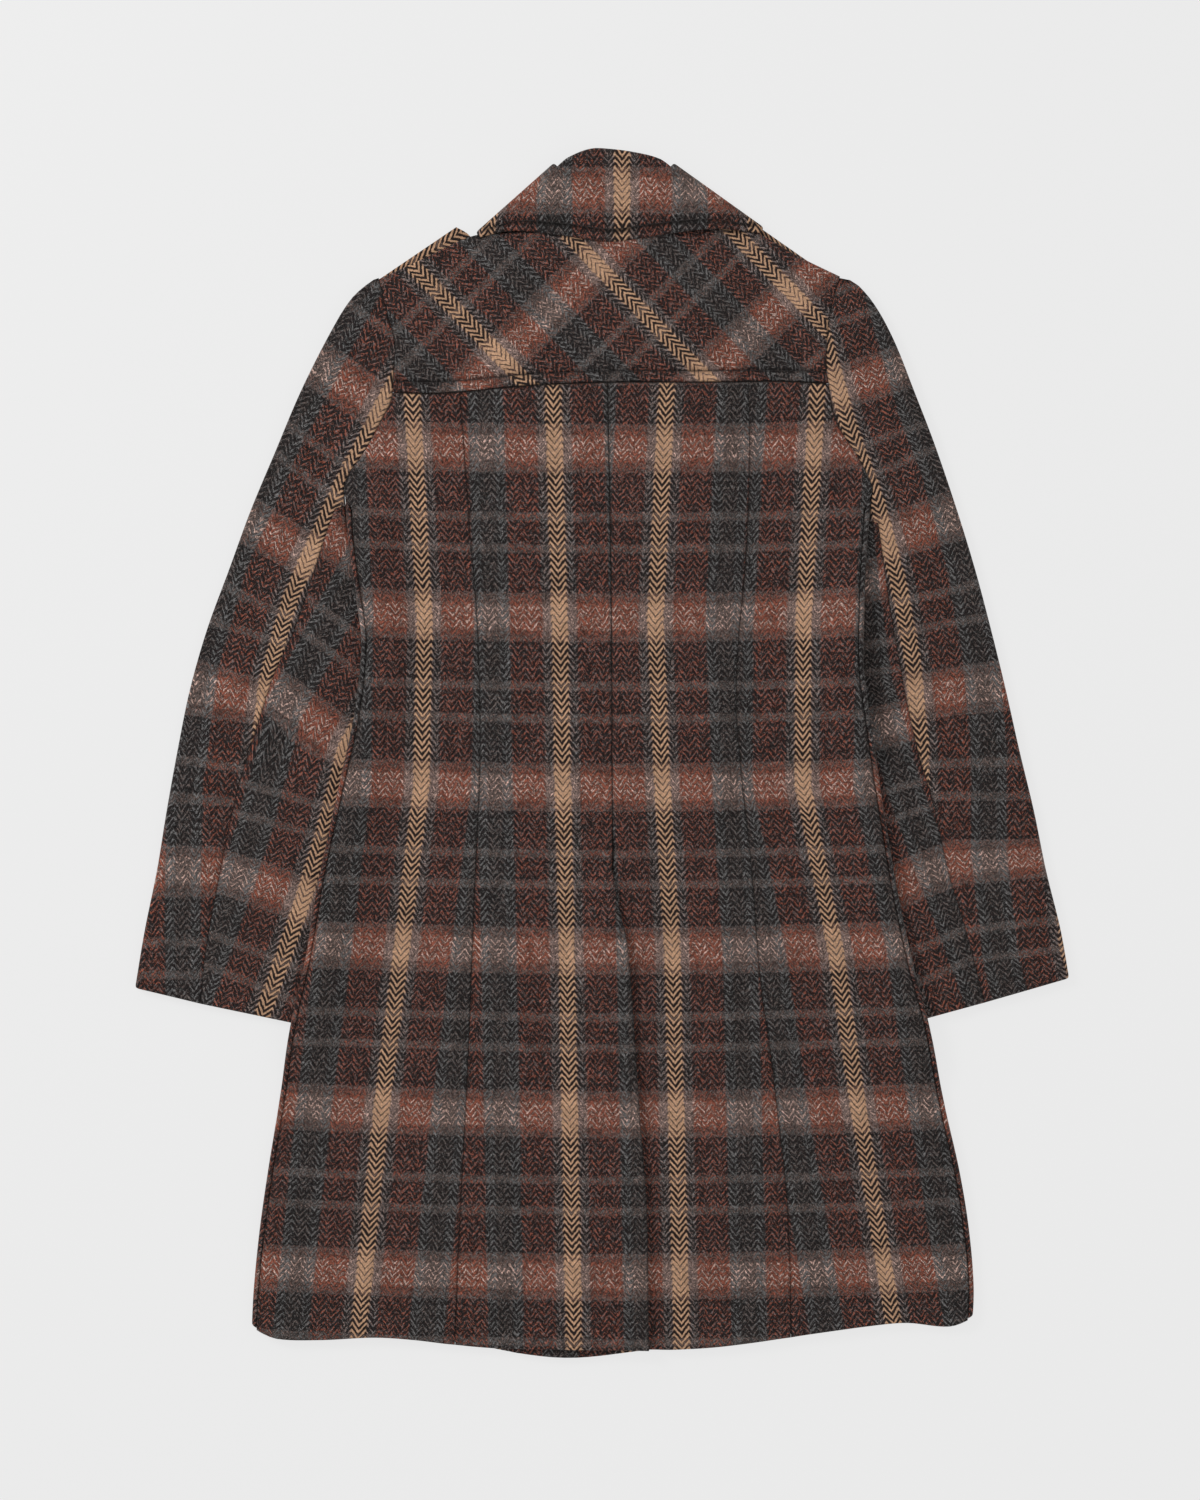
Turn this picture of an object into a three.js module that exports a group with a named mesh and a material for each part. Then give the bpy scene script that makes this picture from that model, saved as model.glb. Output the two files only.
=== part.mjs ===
// A double-breasted wool coat, laid flat on its front, in millimetres.
// +X is the wearer's right, +Y runs from the hem to the collar, +Z is up, away from the surface it lies on.
// Each cut piece is a thin closed wall round a sheet of mid-surface points.

import * as THREE from 'three';

// Cloth and layers
const CLOTH = 2.5;
const HALF = CLOTH / 2;
const GAP = 0.3;
const LAYER = 3;
const OVER_LAYER = 3.3;
const BACK_LEVEL = 7.5;
const CENTRE_X = 7;
const PLACE = { x: -0.5, y: 0.3 };

// Front overlap and buttons
const OVERLAP = 75;
const OVERLAP_STEP = { from: 16, to: 3, top: 382, topNone: 408 };
const BUTTON = { radius: 14, thick: 2.6, sides: 20, spread: 55 };
const BUTTON_ROWS = [150, 40, -70];
const BAND = { half: 78, ramp: 22, low: -92, lowRamp: 64 };
const CHEST = { low: 240, high: 272 };
const CROWN = { full: 86, none: 112, low: -210, lowRamp: 70, top: 406, topNone: 432 };

// Where the body's side edges lie on the sleeves
const UNDERARM = 217;
const SLEEVE_LIFT = { height: 8.6, full: 15, none: 52, top: 210, topFull: 174, lowFull: -234, low: -276 };
const SLEEVE_LEVEL = 6.75;
const TUCK = { depth: 12, clear: 2.6, from: 152, to: 104 };
const UNDER_SEAM = { start: 0.1, share: 0.25, from: 204, to: 100 };
const UNDER_TOP = { left: 190, right: 162 };
const CAP_EASE = 40;

// Round edges
const SIDE_RADIUS = 3.125;
const SIDE_ROLL = { length: Math.PI * SIDE_RADIUS, steps: 4, top: UNDERARM - 4 };
const SIDE_SEAM_EASE = { inset: 1.2, from: 30, to: 8 };
const SHOULDER_ROLL = { radius: 1.475, turn: 1.3, steps: 2 };
const FOLD_STEPS = 5;
const LEAST_TURN = 1e-4;

// The back vent: the left panel's folded edge lies on an underlap of the right one
const VENT_TOP = -97.5;
const VENT_RISE = { full: 3, none: 24, above: 44, fullAbove: 10 };

// Outlines of the left and right halves, from the collar down
const ARM_LEFT = [
  { y: 390, x: -183 }, { y: 358, x: -175 }, { y: 335, x: -169 }, { y: 312, x: -170 }, { y: 288, x: -172 },
  { y: 272, x: -180 }, { y: 246, x: -194 }, { y: 227, x: -207 }, { y: 217, x: -211 },
];
const ARM_RIGHT = [
  { y: 392, x: 196 }, { y: 358, x: 187 }, { y: 323, x: 184 }, { y: 299, x: 186 }, { y: 269, x: 193 },
  { y: 241, x: 210 }, { y: 217, x: 222 },
];
const SIDE_LEFT = [
  { y: 217, x: -211 }, { y: 158, x: -205 }, { y: 123, x: -200 }, { y: 88, x: -196 }, { y: 30, x: -202 },
  { y: -35, x: -216 }, { y: -110, x: -232 }, { y: -170, x: -242 }, { y: -224, x: -254 }, { y: -294, x: -265 },
  { y: -343, x: -273 }, { y: -392, x: -280 }, { y: -441, x: -285 }, { y: -480, x: -287 },
];
const SIDE_RIGHT = [
  { y: 217, x: 222 }, { y: 171, x: 217 }, { y: 112, x: 214 }, { y: 66, x: 214 }, { y: 7, x: 222 },
  { y: -57, x: 232 }, { y: -111, x: 241 }, { y: -176, x: 255 }, { y: -221, x: 267 }, { y: -294, x: 282 },
  { y: -343, x: 293 }, { y: -392, x: 301 }, { y: -441, x: 305 }, { y: -480, x: 303 },
];
const SLEEVE_OUTER_LEFT = [
  { y: 385, x: -188 }, { y: 371, x: -204 }, { y: 346, x: -220 }, { y: 297, x: -245 }, { y: 248, x: -266 },
  { y: 198, x: -287 }, { y: 149, x: -305 }, { y: 100, x: -323 }, { y: 51, x: -337 }, { y: 2, x: -347 },
  { y: -48, x: -356 }, { y: -97, x: -364 }, { y: -146, x: -374 }, { y: -194, x: -382 },
];
const SLEEVE_OUTER_RIGHT = [
  { y: 387, x: 200 }, { y: 371, x: 216 }, { y: 346, x: 232 }, { y: 297, x: 255 }, { y: 248, x: 274 },
  { y: 198, x: 291 }, { y: 149, x: 306 }, { y: 100, x: 319 }, { y: 51, x: 331 }, { y: 2, x: 342 },
  { y: -48, x: 354 }, { y: -97, x: 364 }, { y: -146, x: 376 }, { y: -186, x: 383 },
];
const SLEEVE_SEAM_LEFT = [
  { y: 217, x: -211 }, { y: 182, x: -224 }, { y: 139, x: -238 }, { y: 101, x: -251 }, { y: 66, x: -267 },
  { y: 30, x: -279 }, { y: -29, x: -297 }, { y: -99, x: -312 }, { y: -165, x: -324 }, { y: -207, x: -328 },
];
const SLEEVE_SEAM_RIGHT = [
  { y: 217, x: 222 }, { y: 182, x: 227 }, { y: 125, x: 235 }, { y: 89, x: 241 }, { y: 30, x: 252 },
  { y: -7, x: 261 }, { y: -40, x: 271 }, { y: -99, x: 284 }, { y: -146, x: 298 }, { y: -206, x: 314 },
];
const CUFF = {
  left: { outer: -193, seam: -206, inner: -224 },
  right: { outer: -185, seam: -205, inner: -221 },
};
const CAP = { outer: 381, seam: 384, underarm: 214 };

// Seams of the back
const PRINCESS_LEFT = [
  { y: 300, x: -116 }, { y: 244, x: -112 }, { y: 186, x: -108 }, { y: 128, x: -103 }, { y: 71, x: -100 },
  { y: 0, x: -99 }, { y: -60, x: -101 }, { y: -121, x: -104 }, { y: -200, x: -107 }, { y: -291, x: -111 },
  { y: -409, x: -117 }, { y: -490, x: -120 },
];
const PRINCESS_RIGHT = [
  { y: 306, x: 120 }, { y: 257, x: 121 }, { y: 200, x: 120 }, { y: 145, x: 117 }, { y: 95, x: 112 },
  { y: 42, x: 110 }, { y: -16, x: 114 }, { y: -88, x: 122 }, { y: -187, x: 130 }, { y: -252, x: 139 },
  { y: -304, x: 145 }, { y: -357, x: 151 }, { y: -422, x: 154 }, { y: -490, x: 155 },
];
const CENTRE_SEAM = [{ y: 305, x: 5 }, { y: 125, x: 8 }, { y: -97, x: 9 }, { y: -500, x: 9 }];
const VENT_FOLD = [
  { y: -97, x: 9 }, { y: -125, x: 14 }, { y: -155, x: 21 }, { y: -226, x: 27 }, { y: -304, x: 32 },
  { y: -370, x: 37 }, { y: -495, x: 39 },
];
const UNDERLAP = [
  { y: -97, x: 9 }, { y: -125, x: 1 }, { y: -155, x: -6 }, { y: -226, x: -14 }, { y: -495, x: -18 },
];
const YOKE_SEAM = [
  { x: -172, y: 294 }, { x: -137, y: 293 }, { x: -108, y: 295 }, { x: -62, y: 299 },
  { x: 8, y: 302 },
  { x: 80, y: 302 }, { x: 146, y: 303 }, { x: 188, y: 301 },
];
const HEM = [
  { x: -290, y: -466 }, { x: -280, y: -474 }, { x: -265, y: -480 }, { x: -230, y: -481 },
  { x: -186, y: -479 }, { x: -153, y: -481 }, { x: -120, y: -485 }, { x: -80, y: -488 },
  { x: 38, y: -489 }, { x: 60, y: -489 },
  { x: 93, y: -487 }, { x: 126, y: -483 }, { x: 159, y: -478 }, { x: 224, y: -469 }, { x: 250, y: -467 },
  { x: 285, y: -470 }, { x: 304, y: -463 },
];
const FRONT_HEM_DROP = { at: -28, half: 92, drop: 7, up: 1.5 };

// Shoulders and neck
const NECK = { left: { x: -94, y: 421 }, right: { x: 114, y: 425 }, front: { x: CENTRE_X, y: 376 } };
const YOKE_TOP = [
  { x: -186, y: 386 }, { x: -145, y: 405 }, { x: -106, y: 421 }, { x: -84, y: 424 }, { x: -40, y: 427 },
  { x: 7, y: 427 }, { x: 60, y: 430 }, { x: 100, y: 430 }, { x: 123, y: 425 }, { x: 160, y: 407 },
  { x: 199, y: 388 },
];
const NECK_EDGE_FALL = 0.08;

// The collar: its fall folds round the neck along straight lines from the roll to the outer edge
const FALL = {
  left: { roll: [-39, 482], edge: [-103, 425], endRoll: [1, 386], endEdge: [-54, 318] },
  right: { roll: [59, 482], edge: [133, 429], endRoll: [13, 386], endEdge: [66, 318] },
};
const FALL_ROLL_BOW = [
  { x: 0, y: 0 }, { x: 0.1, y: 8 }, { x: 0.29, y: 15 }, { x: 0.46, y: 15 }, { x: 0.7, y: 12 },
  { x: 0.9, y: 7 }, { x: 1, y: 0 },
];
const FALL_EDGE_BOW = [
  { x: 0, y: 0 }, { x: 0.11, y: 4.5 }, { x: 0.28, y: 0.5 }, { x: 0.46, y: -5.5 }, { x: 0.64, y: -1 },
  { x: 0.84, y: 3 }, { x: 1, y: 0 },
];
const FALL_LEVEL = { roll: 10.3, round: 1.4, roundTo: 0.03, edge: 419, clear: 0.2 };
const FALL_DOWN = { from: 0.1, to: 0.75 };
const FALL_CORNER = { height: 4, from: 0.55, full: 0.85, lower: 0.5 };
const FALL_ROWS = [0, 0.012, 0.035, 0.12, 0.3, 0.5, 0.7, 0.86, 1];
const STAND = {
  left: { roll: [-36, 478], edge: [-92, 426.3], endRoll: [-3, 391], endEdge: [-4, 386.5] },
  right: { roll: [56, 478], edge: [112, 431.5], endRoll: [17, 391], endEdge: [18, 386.5] },
};
const STAND_LEVEL = { roll: 7, neck: 7.5 };
const STAND_ROWS = [0, 0.15, 0.4, 0.7, 1];

// Epaulettes: straps along the shoulder, sewn in at the armhole, each with a blunt point by the collar
const EPAULETTES = {
  left: {
    sewn: [[-181, 388], [-166, 356]],
    point: [
      { w: 0, x: -119, y: 430 }, { w: 0.3, x: -108, y: 423 },
      { w: 0.6, x: -101, y: 409 }, { w: 1, x: -109, y: 391 },
    ],
  },
  right: {
    sewn: [[194, 389], [183, 357]],
    point: [
      { w: 0, x: 139, y: 427 }, { w: 0.3, x: 133, y: 419 },
      { w: 0.6, x: 129, y: 407 }, { w: 1, x: 136, y: 390 },
    ],
  },
};

// Heights along the side edges at which rows of points lie
const YOKE_ROWS = [373, 357, 338, 318];
const ARM_ROWS = [281, 266, 250, 235];
const SIDE_ROWS = [
  217, 203, 188, 170, 146, 120, 90, 60, 30, 0, -30, -58, -76, -90, -122, -155, -190, -226, -242, -260,
  -284, -316, -350, -384, -416, -442,
];

// Distances from a side edge at which columns of points lie, the fronts' own columns from the centre line,
// and how many cells the rest of each piece has
const EDGE_COLUMNS = { back: [16, 34, 53], front: [16, 34] };
const FRONT_COLUMNS = {
  left: [-OVERLAP - OVERLAP_STEP.from, -OVERLAP - OVERLAP_STEP.to, -49, -15, 27, OVERLAP - 20, OVERLAP],
  right: [-OVERLAP, 25 - OVERLAP, -15, 27, 54, BAND.half, BAND.half + BAND.ramp],
};
const CELLS = {
  yoke: 18, side: 3, front: 2, centreLeft: 4, centreRight: 5, leaf: 4, collar: 10,
  topSleeve: { upper: 4, lower: 3 }, underSleeve: { upper: 2, lower: 2 }, epaulette: { across: 6, along: 5 },
};
const SLEEVE_CELL = 29;
const PASSES = 30;

const cloth = (colour) => new THREE.MeshStandardMaterial({ color: colour, roughness: 0.95, metalness: 0 });
const COLOURS = { rust: 0x6b443b, slate: 0x4f4a4a, tan: 0xa98762, brown: 0x5d3d35, horn: 0x3a2a22 };

// Small helpers

const mix = (a, b, k) => a + (b - a) * k;
const mixPoint = (a, b, k) => [mix(a[0], b[0], k), mix(a[1], b[1], k)];

function ease(from, to, value) {
  const k = Math.min(1, Math.max(0, (value - from) / (to - from)));
  return k * k * (3 - 2 * k);
}

/** A smooth curve through a table's rows, giving the column `value` for any value of the column `key`. */
function through(table, key, value) {
  const rows = [...table].sort((a, b) => a[key] - b[key]);
  const last = rows.length - 1;
  const slope = (i) => {
    const before = rows[Math.max(i - 1, 0)];
    const after = rows[Math.min(i + 1, last)];
    return (after[value] - before[value]) / (after[key] - before[key]);
  };
  return (at) => {
    const here = Math.min(Math.max(at, rows[0][key]), rows[last][key]);
    let i = 0;
    while (i < last - 1 && here > rows[i + 1][key]) i += 1;
    const span = rows[i + 1][key] - rows[i][key];
    const k = (here - rows[i][key]) / span;
    const h = k * k * (3 - 2 * k);
    const rise = k * (1 - k) * ((1 - k) * slope(i) - k * slope(i + 1)) * span;
    return mix(rows[i][value], rows[i + 1][value], h) + rise;
  };
}

function evenly(from, to, cells) {
  return Array.from({ length: cells + 1 }, (_, i) => mix(from, to, i / cells));
}

/** The direction of a grid line at its point k. At an end it follows the last three points. */
function tangent(at, k, count, place) {
  const point = (n) => at(...place(n));
  const way = (from, to) => new THREE.Vector3().subVectors(point(to), point(from));
  if (k > 0 && k < count - 1) return way(k - 1, k + 1);
  const inward = k === 0 ? 1 : -1;
  const near = way(k, k + inward);
  const far = way(k + inward, k + 2 * inward);
  const share = near.length() / (near.length() + far.length());
  const chord = near.normalize();
  return chord.clone().lerp(far.normalize(), -share).multiplyScalar(inward);
}

/** A closed wall of the cloth's thickness round a grid of mid-surface points. */
function wall(grid) {
  const rows = grid.length;
  const cols = grid[0].length;
  const at = (i, j) => grid[i][j];
  const positions = [];
  for (const side of [1, -1]) {
    for (let i = 0; i < rows; i += 1) {
      for (let j = 0; j < cols; j += 1) {
        const down = tangent(at, i, rows, (k) => [k, j]);
        const across = tangent(at, j, cols, (k) => [i, k]);
        const normal = across.cross(down).normalize();
        const point = normal.multiplyScalar(side * HALF).add(at(i, j));
        positions.push(point.x, point.y, Math.max(point.z, 0));
      }
    }
  }
  const count = rows * cols;
  const index = [];
  const quad = (a, b, c, d) => index.push(a, b, c, a, c, d);
  for (let i = 0; i < rows - 1; i += 1) {
    for (let j = 0; j < cols - 1; j += 1) {
      const a = i * cols + j;
      const corners = [a, a + 1, a + cols + 1, a + cols];
      quad(...corners);
      quad(...corners.map((k) => k + count).reverse());
    }
  }
  const ring = [];
  for (let j = 0; j < cols - 1; j += 1) ring.push(j);
  for (let i = 0; i < rows - 1; i += 1) ring.push(i * cols + cols - 1);
  for (let j = cols - 1; j > 0; j -= 1) ring.push((rows - 1) * cols + j);
  for (let i = rows - 1; i > 0; i -= 1) ring.push(i * cols);
  ring.forEach((a, k) => {
    const b = ring[(k + 1) % ring.length];
    quad(b, a, a + count, b + count);
  });
  const geometry = new THREE.BufferGeometry();
  geometry.setAttribute('position', new THREE.Float32BufferAttribute(positions, 3));
  geometry.setIndex(facingOut(positions, index));
  geometry.computeVertexNormals();
  return geometry;
}

/** The triangles with their faces turned outwards: the volume they enclose is then positive. */
function facingOut(positions, index) {
  const point = (k) => new THREE.Vector3().fromArray(positions, 3 * k);
  let volume = 0;
  for (let i = 0; i < index.length; i += 3) {
    const [a, b, c] = index.slice(i, i + 3).map(point);
    volume += a.dot(b.cross(c));
  }
  return volume > 0 ? index : [...index].reverse();
}

/** Rows of mid-surface points between two side curves, from a top curve to a bottom curve. */
function panel({ top, bottom, left, right, fractions, columns, height }) {
  return fractions.map((t) => {
    const level = (x) => mix(top(x), bottom(x), t);
    const meet = (side) => {
      let x = side(0);
      for (let pass = 0; pass < PASSES; pass += 1) x = side(level(x));
      return x;
    };
    const from = meet(left);
    const to = meet(right);
    return columns(from, to, level((from + to) / 2)).map((x) => {
      const y = level(x);
      return new THREE.Vector3(x, y, height(x, y));
    });
  });
}

/** A strip of cloth past a row of edge points, bent up or down through an angle in its length. */
function strip(edge, inside, { length, steps, turn, up }) {
  const rows = [];
  for (let k = 1; k <= steps; k += 1) {
    rows.push(edge.map((point, i) => {
      const out = new THREE.Vector3().subVectors(point, inside[i]).setZ(0).normalize();
      const angle = Math.max(turn(point), LEAST_TURN);
      const radius = length / angle;
      const bent = (angle * k) / steps;
      const rise = (up ? 1 : -1) * radius * (1 - Math.cos(bent));
      return new THREE.Vector3(
        point.x + out.x * radius * Math.sin(bent),
        point.y + out.y * radius * Math.sin(bent),
        point.z + rise,
      );
    }));
  }
  return rows;
}

const transpose = (grid) => grid[0].map((_, j) => grid.map((row) => row[j]));

function withTopStrip(grid, options) {
  return [...strip(grid[0], grid[1], options).reverse(), ...grid];
}

function withSideStrip(grid, hand, options) {
  const turned = transpose(grid);
  if (hand < 0) return transpose([...strip(turned[0], turned[1], options).reverse(), ...turned]);
  const last = turned.length - 1;
  return transpose([...turned, ...strip(turned[last], turned[last - 1], options)]);
}

// The two halves: hand is -1 on the left and +1 on the right

function half(hand, arm, side, outer, seam, name) {
  const armhole = through(arm, 'y', 'x');
  const edge = through(side, 'y', 'x');
  const sleeveSeam = through(seam, 'y', 'x');
  const tucked = (y) => ease(TUCK.from, TUCK.to, y) * (TUCK.clear + TUCK.depth);
  const inner = (y) => edge(y) + hand * (TUCK.clear - tucked(y));
  return {
    hand,
    name,
    cuff: CUFF[name],
    neck: NECK[name],
    underTop: UNDER_TOP[name],
    outline: (y) => (y > UNDERARM ? armhole(y) : edge(y)),
    outer: through(outer, 'y', 'x'),
    inner,
    seam: (y) => {
      if (y > UNDERARM) return armhole(y);
      return y > UNDER_TOP[name] ? inner(y) : sleeveSeam(y);
    },
  };
}

const LEFT = half(-1, ARM_LEFT, SIDE_LEFT, SLEEVE_OUTER_LEFT, SLEEVE_SEAM_LEFT, 'left');
const RIGHT = half(1, ARM_RIGHT, SIDE_RIGHT, SLEEVE_OUTER_RIGHT, SLEEVE_SEAM_RIGHT, 'right');

const yokeSeam = through(YOKE_SEAM, 'x', 'y');
const hem = through(HEM, 'x', 'y');
const yokeTop = through(YOKE_TOP, 'x', 'y');
const centreSeam = through(CENTRE_SEAM, 'y', 'x');
const princess = { left: through(PRINCESS_LEFT, 'y', 'x'), right: through(PRINCESS_RIGHT, 'y', 'x') };
const ventFold = through(VENT_FOLD, 'y', 'x');
const underlap = through(UNDERLAP, 'y', 'x');

// Heights of the layers' mid-surfaces

function lift(x, y) {
  const side = x < CENTRE_X ? LEFT : RIGHT;
  const { height, full, none, top, topFull, lowFull, low } = SLEEVE_LIFT;
  const inside = (side.outline(y) - x) * side.hand;
  return height * (1 - ease(full, none, inside)) * ease(top, topFull, y) * ease(low, lowFull, y);
}

function chestLift(x, y) {
  const centre = 1 - ease(BAND.half, BAND.half + BAND.ramp, Math.abs(x - CENTRE_X));
  const band = centre * ease(BAND.low - BAND.lowRamp, BAND.low, y);
  return LAYER * Math.max(ease(CHEST.low, CHEST.high, y), band);
}

function backLevel(x, y) {
  const { full, none, low, lowRamp, top, topNone } = CROWN;
  const crown = (1 - ease(full, none, Math.abs(x - CENTRE_X))) * ease(low - lowRamp, low, y);
  return BACK_LEVEL + LAYER * crown * (1 - ease(top, topNone, y)) + lift(x, y);
}

const rightFrontLevel = (x, y) => HALF + chestLift(x, y) + lift(x, y);

function leftFrontLevel(x, y) {
  const edge = CENTRE_X - OVERLAP;
  const { from, to, top, topNone } = OVERLAP_STEP;
  return rightFrontLevel(x, y) + OVER_LAYER * ease(edge - from, edge - to, x) * (1 - ease(top, topNone, y));
}

function ventLevel(x, y) {
  const edge = underlap(y);
  const over = ease(edge - VENT_RISE.none, edge - VENT_RISE.full, x);
  return backLevel(x, y) + LAYER * over * ease(VENT_TOP + VENT_RISE.above, VENT_TOP + VENT_RISE.fullAbove, y);
}

// Seam lines at the sides

/** How far the front's side strip turns: flat along the armhole, then right round under it. */
const sideTurn = (y) => (y > SIDE_ROLL.top ? 0 : Math.PI);

function frontSide(side) {
  const inset = (y) => (sideTurn(y) > 0 ? SIDE_RADIUS + HALF : SIDE_ROLL.length + GAP / 2);
  return (y) => side.outline(y) - side.hand * inset(y);
}

function backSide(side) {
  const seam = SIDE_RADIUS + HALF + GAP;
  const { inset, from, to } = SIDE_SEAM_EASE;
  const more = (y) => inset * ease(SIDE_ROLL.top - from, SIDE_ROLL.top - to, y);
  return (y) => side.outline(y) - side.hand * (y > SIDE_ROLL.top ? GAP / 2 : seam + more(y));
}

const shift = (curve, by) => (y) => curve(y) + by;

// Rows: the fractions of the way down at which points lie, from heights along a side's outline

/** Fractions for rows that meet the curve x = side(y) at the given heights. */
function fractionsAt(side, top, bottom, heights) {
  return [0, ...heights.map((y) => (top(side(y)) - y) / (top(side(y)) - bottom(side(y)))), 1];
}

/** The heights at which rows with these fractions meet the curve x = side(y). */
function heightsAt(side, top, bottom, fractions) {
  return fractions.slice(1, -1).map((t) => {
    let y = 0;
    for (let pass = 0; pass < PASSES; pass += 1) y = mix(top(side(y)), bottom(side(y)), t);
    return y;
  });
}

/** Columns close together near a side edge, then even ones as far as the inner seam. */
function sideColumns(hand, near, cells) {
  return (from, to) => {
    const offsets = near.map((d) => (hand < 0 ? from + d : to - d));
    if (hand < 0) return [from, ...offsets, ...evenly(offsets[offsets.length - 1], to, cells).slice(1)];
    const inner = offsets[offsets.length - 1];
    return [...evenly(from, inner, cells), ...offsets.slice(0, -1).reverse(), to];
  };
}

// Pieces of the back

const shoulderInset = SHOULDER_ROLL.radius + HALF;
const yokeInside = (x) => yokeTop(x) - shoulderInset;
const yokeBottom = shift(yokeSeam, GAP / 2);
const backTop = shift(yokeSeam, -GAP / 2);
const yokeFractions = fractionsAt(backSide(LEFT), yokeInside, yokeBottom, YOKE_ROWS);
const backFractions = fractionsAt(backSide(LEFT), backTop, hem, [...ARM_ROWS, ...SIDE_ROWS]);

/** The heights of all rows along one side, so that the front and the sleeve share them with the back. */
function sideHeights(side) {
  return [
    ...heightsAt(backSide(side), yokeInside, yokeBottom, yokeFractions),
    yokeSeam(side.outline(YOKE_ROWS.at(-1))),
    ...heightsAt(backSide(side), backTop, hem, backFractions),
  ];
}

/** The shoulder's half of a round edge. Round the neck it lies on flat. */
function shoulderStrip(up) {
  const { radius, turn, steps } = SHOULDER_ROLL;
  const atShoulder = (x) => x < NECK.left.x || x > NECK.right.x;
  return { length: radius * turn, steps, turn: (p) => (atShoulder(p.x) ? turn : 0), up };
}

function backYoke() {
  const grid = panel({
    top: yokeInside,
    bottom: yokeBottom,
    left: backSide(LEFT),
    right: backSide(RIGHT),
    fractions: yokeFractions,
    columns: (from, to) => evenly(from, to, CELLS.yoke),
    height: backLevel,
  });
  return withTopStrip(grid, shoulderStrip(false));
}

function sideBack(side) {
  const seam = side.hand < 0 ? princess.left : princess.right;
  const inner = shift(seam, (side.hand * GAP) / 2);
  return panel({
    top: backTop,
    bottom: hem,
    left: side.hand < 0 ? backSide(side) : inner,
    right: side.hand < 0 ? inner : backSide(side),
    fractions: backFractions,
    columns: sideColumns(side.hand, EDGE_COLUMNS.back, CELLS.side),
    height: backLevel,
  });
}

function centreBackLeft() {
  const edge = (y) => (y > VENT_TOP ? centreSeam(y) - GAP / 2 : ventFold(y) - GAP / 2);
  return panel({
    top: backTop,
    bottom: hem,
    left: shift(princess.left, GAP / 2),
    right: edge,
    fractions: backFractions,
    columns: (from, to, y) => {
      const lap = y > VENT_TOP ? to : underlap(y);
      return [...evenly(from, lap - VENT_RISE.none, CELLS.centreLeft), lap - VENT_RISE.full, to];
    },
    height: ventLevel,
  });
}

function centreBackRight() {
  const edge = (y) => (y > VENT_TOP ? centreSeam(y) : underlap(y)) + GAP / 2;
  return panel({
    top: backTop,
    bottom: hem,
    left: edge,
    right: shift(princess.right, -GAP / 2),
    fractions: backFractions,
    columns: (from, to) => evenly(from, to, CELLS.centreRight),
    height: backLevel,
  });
}

// Fronts

function frontTop(side) {
  const neck = side.neck;
  const slope = (neck.y - NECK.front.y) / (neck.x - NECK.front.x);
  return (x) => {
    const past = (x - NECK.front.x) * side.hand;
    if (past < 0) return NECK.front.y + past * NECK_EDGE_FALL;
    if (past < (neck.x - NECK.front.x) * side.hand) return NECK.front.y + (x - NECK.front.x) * slope;
    return yokeInside(x);
  };
}

function frontHem(x) {
  const { at, half: reach, drop, up } = FRONT_HEM_DROP;
  return hem(x) + up - (drop + up) * (1 - ease(0, reach, Math.abs(x - at)));
}

function front(side) {
  const edge = CENTRE_X - side.hand * OVERLAP;
  const inner = FRONT_COLUMNS[side.name].map((x) => CENTRE_X + x);
  const between = side.hand < 0 ? inner[0] : inner.at(-1);
  const outer = sideColumns(side.hand, EDGE_COLUMNS.front, CELLS.front);
  const grid = panel({
    top: frontTop(side),
    bottom: frontHem,
    left: side.hand < 0 ? frontSide(side) : () => edge,
    right: side.hand < 0 ? () => edge : frontSide(side),
    fractions: fractionsAt(frontSide(side), frontTop(side), frontHem, sideHeights(side)),
    columns: (from, to) => (side.hand < 0
      ? [...outer(from, between), ...inner.slice(1)]
      : [...inner.slice(0, -1), ...outer(between, to)]),
    height: side.hand < 0 ? leftFrontLevel : rightFrontLevel,
  });
  return withSideStrip(withTopStrip(grid, shoulderStrip(true)), side.hand, {
    length: SIDE_ROLL.length,
    steps: SIDE_ROLL.steps,
    turn: (p) => sideTurn(p.y),
    up: true,
  });
}

// Sleeves: flattened tubes of a top sleeve and an under sleeve

/** One station across a sleeve, at a height along its back seam. */
function sleeveStation(side, seam) {
  const above = seam > UNDERARM - GAP;
  const down = (UNDERARM - seam) / (UNDERARM - side.cuff.seam);
  const outer = above ? seam + CAP.outer - CAP.seam : mix(CAP.underarm, side.cuff.outer, down);
  const inner = above ? seam : mix(UNDERARM, side.cuff.inner, down);
  const closed = seam < side.underTop;
  const innerPoint = [above ? side.seam(seam) : side.inner(inner), inner];
  const outerPoint = [side.outer(outer), outer];
  const nearer = ease(UNDER_SEAM.from, UNDER_SEAM.to, inner);
  const share = closed ? mix(UNDER_SEAM.start, UNDER_SEAM.share, nearer) : 0;
  return {
    seam: [side.seam(seam), seam],
    outer: outerPoint,
    inner: innerPoint,
    under: mixPoint(innerPoint, outerPoint, share),
    low: HALF + LAYER * ease(CHEST.low, CHEST.high, seam),
    high: mix(BACK_LEVEL, SLEEVE_LEVEL, ease(UNDERARM + CAP_EASE, UNDERARM, seam)),
  };
}

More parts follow.
